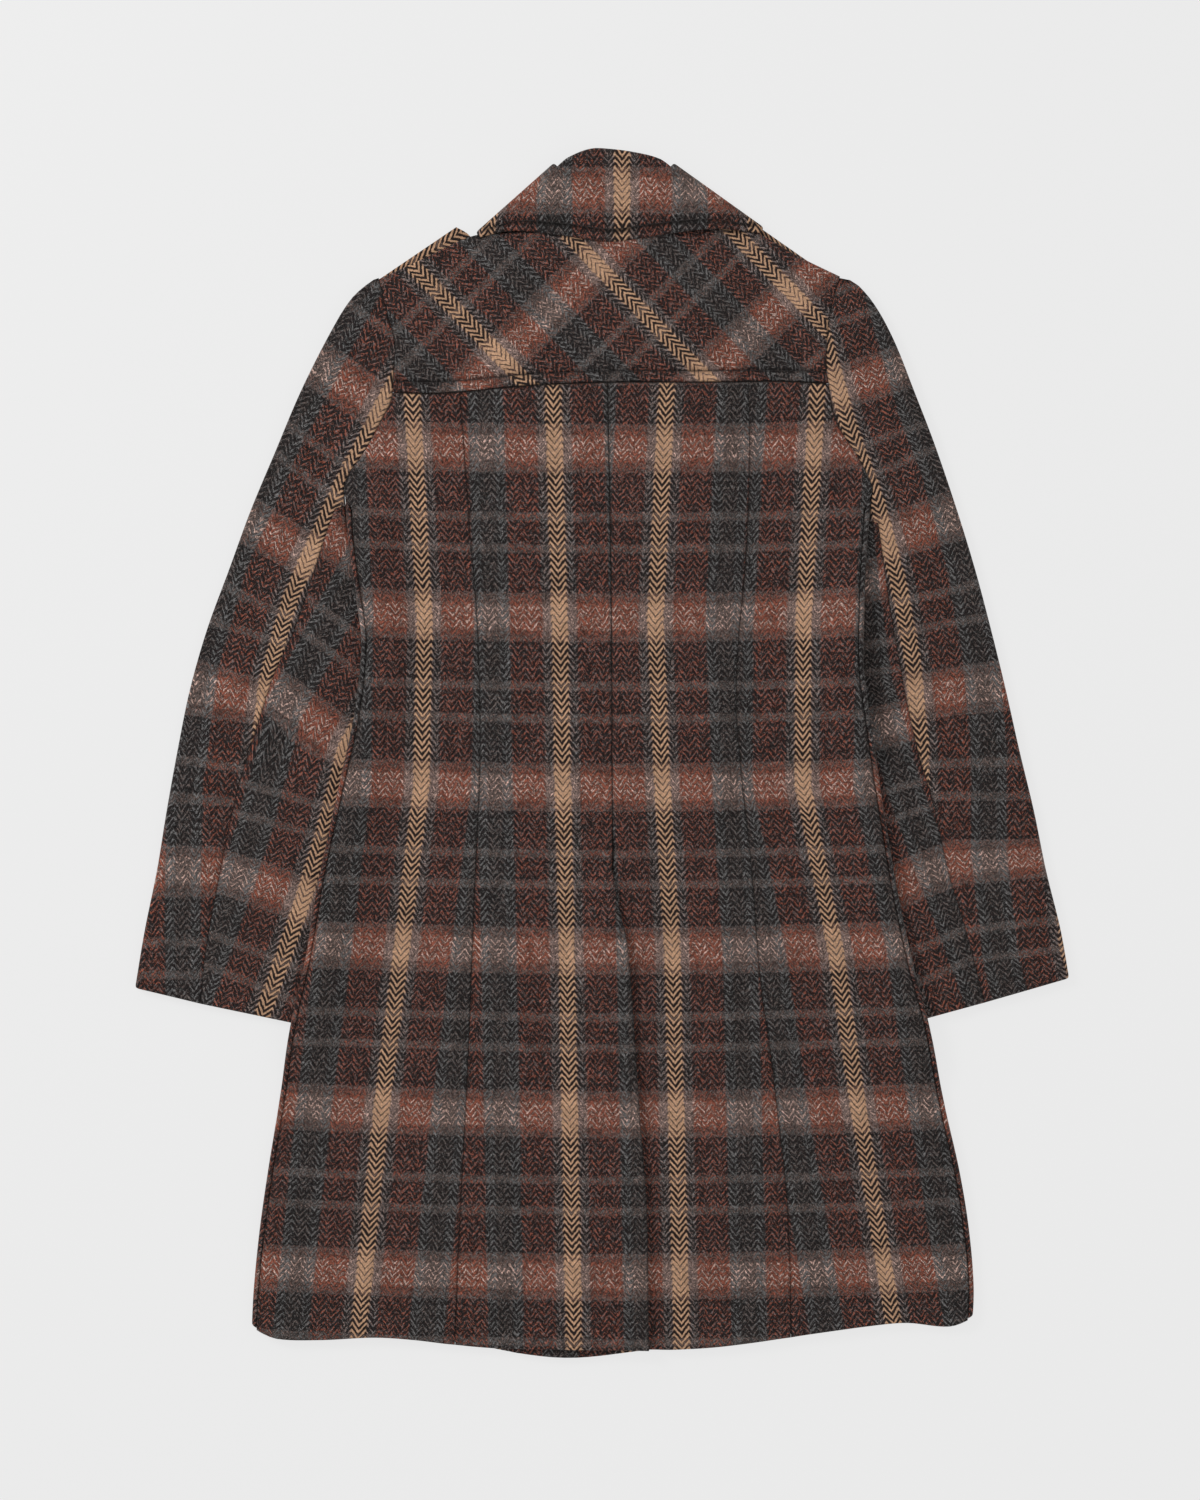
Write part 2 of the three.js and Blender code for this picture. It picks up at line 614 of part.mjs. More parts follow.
/** A row round a flattened tube: along the upper layer to an edge, round it, back along the lower. */
function roundEdge(from, edge, back, { low, high }, cells) {
  const radius = (high - low) / 2;
  const along = new THREE.Vector2(edge[0] - from[0], edge[1] - from[1]);
  const out = along.clone().normalize();
  const turnAt = new THREE.Vector2(...edge).addScaledVector(out, -(radius + HALF));
  const start = new THREE.Vector2(...from).addScaledVector(out, GAP / 2);
  const end = new THREE.Vector2(...back).addScaledVector(out, GAP / 2);
  const row = [];
  for (const k of evenly(0, 1, cells.upper)) {
    row.push([mix(start.x, turnAt.x, k), mix(start.y, turnAt.y, k), high]);
  }
  for (let k = 1; k < FOLD_STEPS; k += 1) {
    const angle = (Math.PI * k) / FOLD_STEPS;
    const reach = radius * Math.sin(angle);
    row.push([turnAt.x + out.x * reach, turnAt.y + out.y * reach, low + radius * (1 + Math.cos(angle))]);
  }
  for (const k of evenly(0, 1, cells.lower)) {
    row.push([mix(turnAt.x, end.x, k), mix(turnAt.y, end.y, k), low]);
  }
  return row.map((p) => new THREE.Vector3(...p));
}

/** Heights along the back seam: the armhole's rows, then even ones from the under sleeve to the cuff. */
function sleeveHeights(side) {
  const armhole = sideHeights(side).filter((y) => y > UNDERARM + LAYER);
  const low = side.underTop - 1;
  const cells = Math.round((low - side.cuff.seam) / SLEEVE_CELL);
  return {
    armhole: [CAP.seam, ...armhole, UNDERARM, (UNDERARM + low) / 2],
    below: evenly(low, side.cuff.seam, cells),
  };
}

function topSleeve(side) {
  const { armhole, below } = sleeveHeights(side);
  return [...armhole, ...below].map((y) => {
    const s = sleeveStation(side, y);
    return roundEdge(s.seam, s.outer, s.under, s, CELLS.topSleeve);
  });
}

function underSleeve(side) {
  return sleeveHeights(side).below.map((y) => {
    const s = sleeveStation(side, y);
    return roundEdge(s.seam, s.inner, s.under, s, CELLS.underSleeve);
  });
}

// Collar: each piece runs from its left front end over the back to its right front end

function wrappedRow({ left, right }, v, levels, bow) {
  const sideOf = (lines) => {
    const fold = mixPoint(lines.roll, lines.edge, v);
    const end = mixPoint(lines.endRoll, lines.endEdge, v);
    const line = [lines.edge[0] - lines.roll[0], lines.edge[1] - lines.roll[1]];
    const size = Math.hypot(...line);
    const hand = Math.sign(lines.edge[0] - lines.roll[0]);
    return { fold, end, out: [(-hand * line[1]) / size, (hand * line[0]) / size] };
  };
  const l = sideOf(left);
  const r = sideOf(right);
  const high = levels.fold(v);
  const radius = (high - levels.low) / 2;
  const turnOf = (s) => [s.fold[0] - s.out[0] * (radius + HALF), s.fold[1] - s.out[1] * (radius + HALF)];
  const from = turnOf(l);
  const to = turnOf(r);
  const fold = (s, at, up) => {
    const steps = [];
    for (let k = 1; k < FOLD_STEPS; k += 1) {
      const angle = (Math.PI * (up ? k : FOLD_STEPS - k)) / FOLD_STEPS;
      const reach = radius * Math.sin(angle);
      const rise = radius * (1 - Math.cos(angle));
      steps.push([at[0] + s.out[0] * reach, at[1] + s.out[1] * reach, levels.low + rise]);
    }
    return steps;
  };
  const leaf = (s, at) => evenly(0, 1, CELLS.leaf).map((k) => [...mixPoint(at, s.end, k), levels.low]);
  const back = evenly(0, 1, CELLS.collar).map((u) => {
    const [x, y] = mixPoint(from, to, u);
    return [x, y + bow(u, v, x, y), levels.back(x, u, v)];
  });
  return [...leaf(l, from).reverse(), ...fold(l, from, true), ...back, ...fold(r, to, false), ...leaf(r, to)]
    .map((p) => new THREE.Vector3(...p));
}

const rollBow = through(FALL_ROLL_BOW, 'x', 'y');
const edgeBow = through(FALL_EDGE_BOW, 'x', 'y');

function collarFall() {
  const { roll, round, roundTo, edge, clear } = FALL_LEVEL;
  const { height, from, full, lower } = FALL_CORNER;
  const rise = (v) => roll - round * (1 - Math.sin(Math.min(1, v / roundTo) * (Math.PI / 2)));
  const over = (v) => ease(FALL_DOWN.from, FALL_DOWN.to, v);
  return FALL_ROWS.map((v) => wrappedRow(FALL, v, {
    low: HALF,
    fold: (w) => mix(rise(w), BACK_LEVEL + LAYER + clear, over(w)),
    back: (x, u, w) => {
      const lying = backLevel(x, edge) + LAYER + clear;
      const lifted = height * ease(from, full, u) * (1 - ease(full, 1, u)) * ease(lower, 1, w);
      return mix(rise(w), lying, over(w)) + lifted;
    },
  }, (u, w) => mix(rollBow(u), edgeBow(u), w)));
}

function collarStand() {
  const { roll, neck } = STAND_LEVEL;
  return STAND_ROWS.map((v) => wrappedRow(STAND, v, {
    low: HALF + LAYER,
    fold: (w) => mix(roll, neck, w),
    back: (x, u, w) => mix(roll, backLevel(x, yokeTop(x)), ease(0, 1, w)),
  }, (u, w, x, y) => mix(rollBow(u), yokeTop(x) + GAP - y, w)));
}

// Epaulettes and buttons

function epaulette({ sewn, point }) {
  const x = through(point, 'w', 'x');
  const y = through(point, 'w', 'y');
  return evenly(0, 1, CELLS.epaulette.across).map((w) => {
    const from = mixPoint(sewn[0], sewn[1], w);
    return evenly(0, 1, CELLS.epaulette.along).map((k) => {
      const [px, py] = mixPoint(from, [x(w), y(w)], k);
      return new THREE.Vector3(px, py, HALF);
    });
  });
}

function buttonGeometry() {
  const disc = new THREE.CylinderGeometry(BUTTON.radius, BUTTON.radius, BUTTON.thick, BUTTON.sides);
  return disc.rotateX(Math.PI / 2).translate(0, 0, BUTTON.thick / 2);
}

// The coat

const coat = new THREE.Group();

function add(name, geometry, material) {
  const mesh = new THREE.Mesh(geometry, material);
  mesh.name = name;
  mesh.position.set(PLACE.x, PLACE.y, 0);
  coat.add(mesh);
  return mesh;
}

add('back_yoke', wall(backYoke()), cloth(COLOURS.slate));
add('centre_back_left', wall(centreBackLeft()), cloth(COLOURS.rust));
add('centre_back_right', wall(centreBackRight()), cloth(COLOURS.brown));
add('side_back_left', wall(sideBack(LEFT)), cloth(COLOURS.brown));
add('side_back_right', wall(sideBack(RIGHT)), cloth(COLOURS.rust));
add('front_left', wall(front(LEFT)), cloth(COLOURS.slate));
add('front_right', wall(front(RIGHT)), cloth(COLOURS.slate));
add('top_sleeve_left', wall(topSleeve(LEFT)), cloth(COLOURS.rust));
add('under_sleeve_left', wall(underSleeve(LEFT)), cloth(COLOURS.slate));
add('top_sleeve_right', wall(topSleeve(RIGHT)), cloth(COLOURS.brown));
add('under_sleeve_right', wall(underSleeve(RIGHT)), cloth(COLOURS.slate));
add('collar_fall', wall(collarFall()), cloth(COLOURS.brown));
add('collar_stand', wall(collarStand()), cloth(COLOURS.slate));
add('epaulette_left', wall(epaulette(EPAULETTES.left)), cloth(COLOURS.tan));
add('epaulette_right', wall(epaulette(EPAULETTES.right)), cloth(COLOURS.tan));

const horn = new THREE.MeshStandardMaterial({ color: COLOURS.horn, roughness: 0.35, metalness: 0 });
BUTTON_ROWS.forEach((y, row) => {
  for (const [column, hand] of [['left', -1], ['right', 1]]) {
    const button = add(`button_${column}_${row + 1}`, buttonGeometry(), horn);
    button.position.set(PLACE.x + CENTRE_X + hand * BUTTON.spread, PLACE.y + y, 0);
  }
});

export default coat;
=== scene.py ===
"""The looks of a double-breasted plaid wool coat that lies flat on its front, seen from straight above.

Every piece of cloth is a thin wall round a sheet of points, on the form of its CAD solid and with finer
points. Sizes are in millimetres in the coat's own drawing frame, +X right and +Y up, until a mesh is made.
"""

import math

import bpy
import numpy as np
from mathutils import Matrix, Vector
from numpy.linalg import norm


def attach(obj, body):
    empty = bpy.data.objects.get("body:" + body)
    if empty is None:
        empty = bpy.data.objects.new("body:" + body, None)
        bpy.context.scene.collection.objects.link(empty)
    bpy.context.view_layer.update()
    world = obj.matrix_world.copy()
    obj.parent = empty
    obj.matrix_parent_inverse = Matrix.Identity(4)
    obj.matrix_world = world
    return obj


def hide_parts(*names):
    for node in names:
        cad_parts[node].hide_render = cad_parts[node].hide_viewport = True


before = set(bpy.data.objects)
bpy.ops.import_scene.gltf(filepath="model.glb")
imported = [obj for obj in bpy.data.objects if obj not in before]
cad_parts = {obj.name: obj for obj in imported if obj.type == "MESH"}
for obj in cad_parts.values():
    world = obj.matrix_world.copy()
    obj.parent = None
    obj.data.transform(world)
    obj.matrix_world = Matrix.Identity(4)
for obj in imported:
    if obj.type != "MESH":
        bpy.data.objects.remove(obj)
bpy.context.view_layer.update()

MM = 0.001
PLACE = (-0.5, 0.3)

# The photograph: its size, millimetres for each pixel, and the pixel that is the drawing frame's origin
PHOTO_SIZE = (1200, 1500)
PHOTO_SCALE = 0.82
PHOTO_ORIGIN = (601.5, 752)

# Cloth and layers, as in the CAD model. A pair is where a smooth step is 0 and where it is 1.
CLOTH = 2.5
HALF = CLOTH / 2
GAP = 0.3
LAYER = 3
OVER_LAYER = 3.3
BACK_LEVEL = 7.5
CENTRE_X = 7
OVERLAP = 75
STEP_SIDE, STEP_TOP = (-84, -71), (382, 408)
BUTTON_SPREAD = 55
BUTTON_ROWS = (150, 40, -70)
BAND_SIDE, BAND_LOW, CHEST = (78, 100), (-156, -92), (240, 272)
CROWN_SIDE, CROWN_LOW, CROWN_TOP = (86, 112), (-280, -210), (406, 432)
UNDERARM = 217
LIFT_HEIGHT, LIFT_SIDE, LIFT_TOP, LIFT_LOW = 8.6, (15, 52), (210, 174), (-276, -234)
SWELL_HEIGHT, SWELL_MIDDLE, SWELL_REACH = 5.5, 66, 78
SLEEVE_LEVEL = 6.75
TUCK_DEPTH, TUCK_CLEAR, TUCK = 12, 0.15, (188, 148)
UNDER_SEAM_SHARES, UNDER_SEAM = (0.1, 0.25), (204, 100)
CAP_EASE = 40
SLEEVE_OVER = 0.1
UNDER_START, UNDER_BELOW = 213, 0.5
HOLLOW_DEPTH, HOLLOW_WIDTH = 2.4, 15
SIDE_RADIUS = 3.125
SIDE_ROLL, SIDE_SEAM, SIDE_SEAM_INSET = (213, 197), (183, 205), 1.2
SHOULDER_RADIUS, SHOULDER_TURN = 1.475, 1.3
VENT_TOP = -97.5
VENT_FULL, VENT_NONE = 3, 24
VENT_RAISED, VENT_OPEN = (VENT_TOP + 44, VENT_TOP + 10), (VENT_TOP, VENT_TOP - 44)
FOLD_RISE, FOLD_WIDTH, FOLD_TROUGH, TROUGH_WIDTH, TROUGH_PAST = 2.2, 13, 1.7, 8, 4

# How fine the cloth is: distances between points, and numbers of points or rows
CELL, CENTRE_CELL, FRONT_CELL, HIDDEN_CELL, COLLAR_CELL, EPAULETTE_CELL = 4.5, 4, 5.5, 8, 2.4, 3
SHOULDER_STEPS, ROLL_STEPS, FOLD_STEPS, NECK_STEPS = 4, 10, 12, 64
CAP_ROWS, STAND_ROWS, SLEEVE_COLUMNS = 40, 14, 16
# Points close together: at an edge, at the collar's roll and across topstitching
EDGE_OFFSETS = (0.35, 0.9, 1.8, 3.2, 5.2)
ROLL_OFFSETS = (0.3, 0.7, 1.3, 2.0)
STITCH_OFFSETS = EDGE_OFFSETS + (6.8, 7.6, 8.3, 8.8, 9.2, 9.6, 10.1, 10.8, 12.0)
# About how long and wide the pieces are, for their numbers of rows and columns
YOKE_LENGTH, YOKE_WIDTH, BACK_LENGTH, BACK_WIDTH, FRONT_LENGTH, FRONT_WIDTH = 125, 365, 790, 135, 860, 300
SLEEVE_LOWER, UNDER_LOWER, LEAF_LENGTH = 50, 15, 110
COLLAR_DEPTH = 60
EPAULETTE_WIDTH, EPAULETTE_LENGTH = 34, 72
# In narrow rows a sleeve's seam points close up: room for the fold, and the width for all
FOLD_ROOM, WIDTH_FOR_ALL = 6, 14
# How far an edge is rounded, and its share of the thickness where it is open, sewn and pressed
EDGE_ROUND, EDGE_THIN, SEAM_THIN, PRESSED_THIN = 3, 0.22, 0.55, 0.86
PASSES = 30
TINY = 1e-4

# Grain: the plaid's repeat along and across, the herringbone's column width and chevron pitch
WARP_REPEAT, WEFT_REPEAT = 111, 134
COLUMN, PITCH, TWILL_LEAN = 5.8, 5.5, 1.35
SMILE, SMILE_REACH = 6.5, 260
YOKE_TURN = math.radians(46)
EPAULETTE_STRIPE, EPAULETTE_START = 5, 24

# Topstitching: how far it runs from an edge, its stitches, its groove, and the ends and points of the yoke's
YOKE_STITCH, COLLAR_STITCH = 9.2, 8.2
STITCH, STITCH_GAP, THREAD_RADIUS, STITCH_UP = 3.4, 0.7, 0.42, 0.1
STITCH_GROOVE, GROOVE_WIDTH = 1.5, 1.3
STITCH_ENDS, STITCH_INSET, STITCH_POINTS = (303, 309), 4, 240
# Painted shade in the grooves of seams and topstitching: how dark on cross and side seams, and how wide there
# and along stitches
SEAM_PAINTED_SHADE, SIDE_PAINTED_SHADE, PAINTED_SHADE_WIDTH, STITCH_PAINTED_SHADE_WIDTH, PAINTED_SHADE_PAST = 0.85, 0.42, 0.9, 2.2, 0.4

# Buttons: (radius, height) down the outline, and the cross of thread in the middle
BUTTON_PROFILE = ((5.5, 0.9), (7.5, 0.8), (9.5, 0.3), (11, 0), (12.6, 0.05), (13.6, 0.6), (14, 1.3),
                  (13.7, 2.1), (12.8, 2.6), (6, 2.6))
BUTTON_SIDES = 40
CROSS, CROSS_REACH, CROSS_LEVEL = (45, 135), 3.2, 0.75
# Threads: (share of the length, share of the radius) along a stitch
THREAD_SIDES = 6
THREAD_RINGS = ((0.0, 0.35), (0.16, 0.85), (0.5, 1.0), (0.84, 0.85), (1.0, 0.35))

# Camera, floor and light, in metres. Lamps are name, place, size and power.
CAMERA_HEIGHT, SENSOR = 2.6, 36
FLOOR_HALF, FLOOR_LEVEL = 6, -0.0006
FLOOR_SHADE, FLOOR_GLOW, FLOOR_GLOW_STRENGTH = (96, 96, 96), (236, 236, 236), 0.877
WORLD_LIGHT = 0.55
LIGHTS = (("key", (-1.9, 1.3, 1.7), 0.9, 33), ("fill", (1.8, -1.0, 2.2), 2.0, 6))


def ease(low, high, value):
    """A smooth step from 0 at low to 1 at high."""
    k = np.clip((np.asarray(value, float) - low) / (high - low), 0, 1)
    return k * k * (3 - 2 * k)


def mix(a, b, k):
    return a + (b - a) * k


def bell(distance, width):
    return np.exp(-((distance / width) ** 2))


def table(*rows):
    """A smooth curve through (key, value) rows. It takes numbers or arrays."""
    key, value = np.array(sorted(rows), float).T
    steps = np.arange(len(key))
    before, after = np.maximum(steps - 1, 0), np.minimum(steps + 1, len(key) - 1)
    slope = (value[after] - value[before]) / (key[after] - key[before])

    def at(where):
        here = np.clip(where, key[0], key[-1])
        i = np.clip(np.searchsorted(key, here, side="left") - 1, 0, len(key) - 2)
        span = key[i + 1] - key[i]
        k = (here - key[i]) / span
        rise = k * (1 - k) * ((1 - k) * slope[i] - k * slope[i + 1]) * span
        return mix(value[i], value[i + 1], k * k * (3 - 2 * k)) + rise

    return at


def straight(rows):
    """A line through (key, value) rows, carried on past its ends."""
    key, value = np.array(sorted(rows), float).T

    def at(where):
        where = np.asarray(where, float)
        i = np.clip(np.searchsorted(key, where) - 1, 0, len(key) - 2)
        return mix(value[i], value[i + 1], (where - key[i]) / (key[i + 1] - key[i]))

    return at


def photo_x(px):
    return (px - PHOTO_ORIGIN[0]) * PHOTO_SCALE


def photo_y(py):
    return (PHOTO_ORIGIN[1] - py) * PHOTO_SCALE


# Outlines: (y, x) down each side, and (x, y) across
ARM = {
    "left": table((390, -183), (358, -175), (335, -169), (312, -170), (288, -172), (272, -180), (246, -194),
        (227, -207), (217, -211)),
    "right": table((392, 196), (358, 187), (323, 184), (299, 186), (269, 193), (241, 210), (217, 222)),
}
SIDE = {
    "left": table((217, -211), (158, -205), (123, -200), (88, -196), (30, -202), (-35, -216), (-110, -232),
        (-170, -242), (-224, -254), (-294, -265), (-343, -273), (-392, -280), (-441, -285), (-480, -287)),
    "right": table((217, 222), (171, 217), (112, 214), (66, 214), (7, 222), (-57, 232), (-111, 241),
        (-176, 255), (-221, 267), (-294, 282), (-343, 293), (-392, 301), (-441, 305), (-480, 303)),
}
SLEEVE_OUTER = {
    "left": table((385, -188), (371, -204), (346, -220), (297, -245), (248, -266), (198, -287), (149, -305),
        (100, -323), (51, -337), (2, -347), (-48, -356), (-97, -364), (-146, -374), (-194, -382)),
    "right": table((389, 198), (384, 207), (366, 223), (337, 239), (297, 255), (248, 274), (198, 291),
        (149, 306), (100, 319), (51, 331), (2, 342), (-48, 354), (-97, 364), (-146, 376), (-186, 383)),
}
SLEEVE_SEAM = {
    "left": table((217, -211), (182, -224), (139, -238), (101, -251), (66, -267), (30, -279), (-29, -297),
        (-99, -312), (-165, -324), (-207, -328)),
    "right": table((217, 222), (182, 227), (125, 235), (89, 241), (30, 252), (-7, 261), (-40, 271),
        (-99, 284), (-146, 298), (-206, 314)),
}
CUFF = {
    "left": {"outer": -193, "seam": -206, "inner": -224},
    "right": {"outer": -185, "seam": -205, "inner": -221},
}
CAP = {"outer": 385.5, "seam": 387.5, "underarm": 214}
UNDER_TOP = {"left": 200, "right": 188}
PRINCESS = {
    "left": table((300, -116), (244, -112), (186, -108), (128, -103), (71, -100), (0, -99), (-60, -101),
        (-121, -104), (-200, -107), (-291, -111), (-409, -117), (-490, -120)),
    "right": table((306, 120), (257, 121), (200, 120), (145, 117), (95, 112), (42, 110), (-16, 114),
        (-88, 122), (-187, 130), (-252, 139), (-304, 145), (-357, 151), (-422, 154), (-490, 155)),
}
centre_seam = table((305, 5), (125, 8), (-97, 9), (-500, 9))
vent_fold = table((-97, 9), (-125, 14), (-155, 21), (-226, 27), (-304, 32), (-370, 37), (-495, 39))
underlap = table((-97, 9), (-125, 1), (-155, -6), (-226, -14), (-495, -18))
yoke_seam = table((-172, 294), (-137, 293), (-108, 295), (-62, 299), (8, 302), (80, 302), (146, 303),
    (188, 301))
hem = table((-290, -466), (-280, -474), (-265, -480), (-230, -481), (-186, -479), (-153, -481),
    (-120, -485), (-80, -488), (38, -489), (60, -489), (93, -487), (126, -483), (159, -478), (224, -469),
    (250, -467), (285, -470), (304, -463))
yoke_top = table((-186, 386), (-145, 405), (-106, 423), (-84, 425), (-40, 427), (7, 427), (60, 430),
    (100, 430), (128, 425), (160, 407), (199, 388))
NECK = {"left": (-94, 421), "right": (114, 425), "front": (CENTRE_X, 376)}
NECK_EDGE_FALL = 0.08
HEM_AT, HEM_HALF, HEM_DROP, HEM_UP = -28, 92, 7, 1.5

# The collar, whose fall folds round the neck along straight lines from the roll to the outer edge
FALL = {
    "left": {"roll": (-39, 482), "edge": (-103, 425), "end_roll": (1, 386), "end_edge": (-54, 318)},
    "right": {"roll": (59, 482), "edge": (133, 429), "end_roll": (13, 386), "end_edge": (66, 318)},
}
roll_bow = table((0, 0), (0.1, 8), (0.29, 15), (0.46, 15), (0.7, 12), (0.9, 7), (1, 0))
edge_bow = table((0, 0), (0.11, 4.5), (0.28, 0.5), (0.46, -5.5), (0.64, -1), (0.84, 3), (1, 0))
FALL_ROLL, ROLL_ROUND, ROUND_TO, FALL_EDGE, FALL_CLEAR = 10.3, 1.4, 0.03, 419, 0.2
FALL_DOWN = (0.1, 0.75)
CORNER_HEIGHT, CORNER_RISE, CORNER_FALL, CORNER_DOWN = 4, (0.55, 0.85), (0.85, 1), (0.5, 1)
STAND = {
    "left": {"roll": (-36, 478), "edge": (-92, 426.3), "end_roll": (-3, 391), "end_edge": (-4, 386.5)},
    "right": {"roll": (56, 478), "edge": (112, 431.5), "end_roll": (17, 391), "end_edge": (18, 386.5)},
}
STAND_ROLL, STAND_NECK = 7, 7.5
EPAULETTES = {
    "left": {"sewn": ((-181, 388), (-166, 356)),
             "point": ((0, -119, 430), (0.3, -108, 423), (0.6, -101, 409), (1, -109, 391))},
    "right": {"sewn": ((194, 385), (183, 353)),
              "point": ((0, 131, 429), (0.3, 126, 421), (0.6, 123, 409), (1, 129, 392))},
}


class Half:
    """The lines of one side of the coat. hand is -1 on the left and +1 on the right."""

    def __init__(self, name, hand):
        self.name, self.hand = name, hand
        self.cuff, self.neck, self.under_top = CUFF[name], NECK[name], UNDER_TOP[name]
        self.outer_edge, self.inner_edge = "lr" if hand < 0 else "rl"

    def order(self, outer, inner):
        """Two things from left to right, of which one is nearer to this side's outer edge."""
        return (outer, inner) if self.hand < 0 else (inner, outer)

    def outline(self, y):
        return np.where(np.asarray(y) > UNDERARM, ARM[self.name](y), SIDE[self.name](y))

    def inner(self, y):
        tuck = TUCK_CLEAR - ease(*TUCK, y) * (TUCK_CLEAR + TUCK_DEPTH)
        return SIDE[self.name](y) + self.hand * tuck

    def seam(self, y):
        if y > UNDERARM:
            return float(ARM[self.name](y))
        return float(self.inner(y) if y > self.under_top else SLEEVE_SEAM[self.name](y))


LEFT = Half("left", -1)
RIGHT = Half("right", 1)


# Soft form on the layers: rows are middle x and y, direction in degrees, half length, half width and height
CREASES = (
    (256, -348, -56, 54, 10, 2.8), (276, -366, -56, 36, 8, -1.8), (224, -330, -60, 30, 9, -1.2),
    (-186, 268, 62, 16, 5, -1.8), (196, 266, -64, 20, 5, -1.4), (-150, 96, 12, 44, 8, 0.7),
    (-158, 74, 4, 40, 7, -0.6), (168, 84, -10, 42, 8, 0.7), (174, 60, -3, 40, 7, -0.6),
    (-60, -330, 88, 130, 22, 0.8), (84, -300, 84, 140, 24, 0.8), (-200, -360, 96, 110, 24, 0.9),
    (-20, 200, 90, 90, 26, 0.6),
)
SLEEVE_CREASES = (
    (-300, 60, 62, 60, 12, 1.0), (-286, 120, 66, 70, 14, -0.8), (-330, -80, 70, 60, 12, 0.8),
    (300, 50, -64, 60, 12, 1.0), (276, 110, -62, 60, 12, -0.8), (330, -90, -70, 60, 12, 0.8),
    (-212, 330, 62, 50, 10, 0.9), (226, 330, -60, 50, 10, 0.9),
)
# How much of the other creases a sleeve shows, how far below its top they fade out, and a distance past all
SLEEVE_SHARE, SLEEVE_FADE, FAR_OFF = 0.6, 2.5, 99
# Rows are direction in degrees, length and height of a long low wave
WAVES = ((12, 92, 0.22), (71, 128, 0.28), (-34, 61, 0.14), (103, 74, 0.18), (48, 39, 0.07))
WAVE_PHASE = 1.7
# Gathers along a seam, with a second, longer wave. Along the centre seam they are lower and end at the vent.
PUCKER_LENGTH, PUCKER_HEIGHT, PUCKER_REACH = 11, 0.32, 7
SECOND_LENGTH, SECOND_SHARE = 1.7 * PUCKER_LENGTH, 0.6
CENTRE_SHARE, CENTRE_NONE, CENTRE_FULL = 0.7, VENT_TOP - 10, VENT_TOP + 20


def creased(total, x, y, creases):
    for middle_x, middle_y, degrees, length, width, height in creases:
        turn = math.radians(degrees)
        along = (x - middle_x) * math.cos(turn) + (y - middle_y) * math.sin(turn)
        across = (y - middle_y) * math.cos(turn) - (x - middle_x) * math.sin(turn)
        total = total + height * np.exp(-((along / length) ** 4) - (across / width) ** 2)
    return total


def relief(x, y):
    """Creases and long low waves, the same on each side of a seam."""
    total = creased(np.zeros(np.broadcast(x, y).shape), x, y, CREASES)
    for step, (degrees, length, height) in enumerate(WAVES):
        turn = math.radians(degrees)
        along = x * math.cos(turn) + y * math.sin(turn)
        total = total + height * np.sin(2 * math.pi * along / length + WAVE_PHASE * step)
    return total


def pucker(distance, along):
    """Small gathers that fade away from a seam."""
    wave = np.sin(2 * math.pi * along / PUCKER_LENGTH)
    wave = wave + SECOND_SHARE * np.sin(2 * math.pi * along / SECOND_LENGTH)
    return PUCKER_HEIGHT * wave * bell(distance, PUCKER_REACH)


def groove(distance):
    return -STITCH_GROOVE * bell(distance, GROOVE_WIDTH)


# Heights of the layers' mid-surfaces

def swell(y):
    return np.exp(-(((y - SWELL_MIDDLE) / SWELL_REACH) ** 4))


def lift(x, y):
    inside = np.where(x < CENTRE_X, x - LEFT.outline(y), RIGHT.outline(y) - x)
    high = (LIFT_HEIGHT + SWELL_HEIGHT * swell(y) * (x > CENTRE_X)) * (1 - ease(*LIFT_SIDE, inside))
    return high * ease(*LIFT_TOP, y) * ease(*LIFT_LOW, y)


def chest_lift(x, y):
    band = (1 - ease(*BAND_SIDE, abs(x - CENTRE_X))) * ease(*BAND_LOW, y)
    return LAYER * np.maximum(ease(*CHEST, y), band)


def back_level(x, y):
    crown = (1 - ease(*CROWN_SIDE, abs(x - CENTRE_X))) * ease(*CROWN_LOW, y)
    return BACK_LEVEL + LAYER * crown * (1 - ease(*CROWN_TOP, y)) + lift(x, y)


def back_surface(x, y):
    """The back with its creases, and with small gathers along the seams."""
    level = back_level(x, y) + relief(x, y)
    for seam in PRINCESS.values():
        level = level + pucker(x - seam(y), y)
    level = level + pucker(y - yoke_seam(x), x)
    return level + CENTRE_SHARE * pucker(x - centre_seam(y), y) * ease(CENTRE_NONE, CENTRE_FULL, y)


def yoke_surface(x, y):
    return back_surface(x, y) + groove(y - yoke_seam(x) - YOKE_STITCH)


def right_front_level(x, y):
    return HALF + chest_lift(x, y) + lift(x, y)


def left_front_level(x, y):
    over = ease(*STEP_SIDE, x) * (1 - ease(*STEP_TOP, y))
    return right_front_level(x, y) + OVER_LAYER * over


def vent_surface(x, y):
    """The left half of the back, raised over the underlap's edge and along the vent's folded edge."""
    edge = underlap(y)
    over = ease(edge - VENT_NONE, edge - VENT_FULL, x)
    rise = FOLD_RISE * bell(x - vent_fold(y), FOLD_WIDTH)
    return back_surface(x, y) + LAYER * over * ease(*VENT_RAISED, y) + rise * ease(*VENT_OPEN, y)


def underlap_surface(x, y):
    """The right half of the back, with a trough beside the vent's folded edge."""
    trough = FOLD_TROUGH * bell(x - vent_fold(y) - TROUGH_PAST, TROUGH_WIDTH)
    return back_surface(x, y) - trough * ease(*VENT_OPEN, y)


# Grids of points

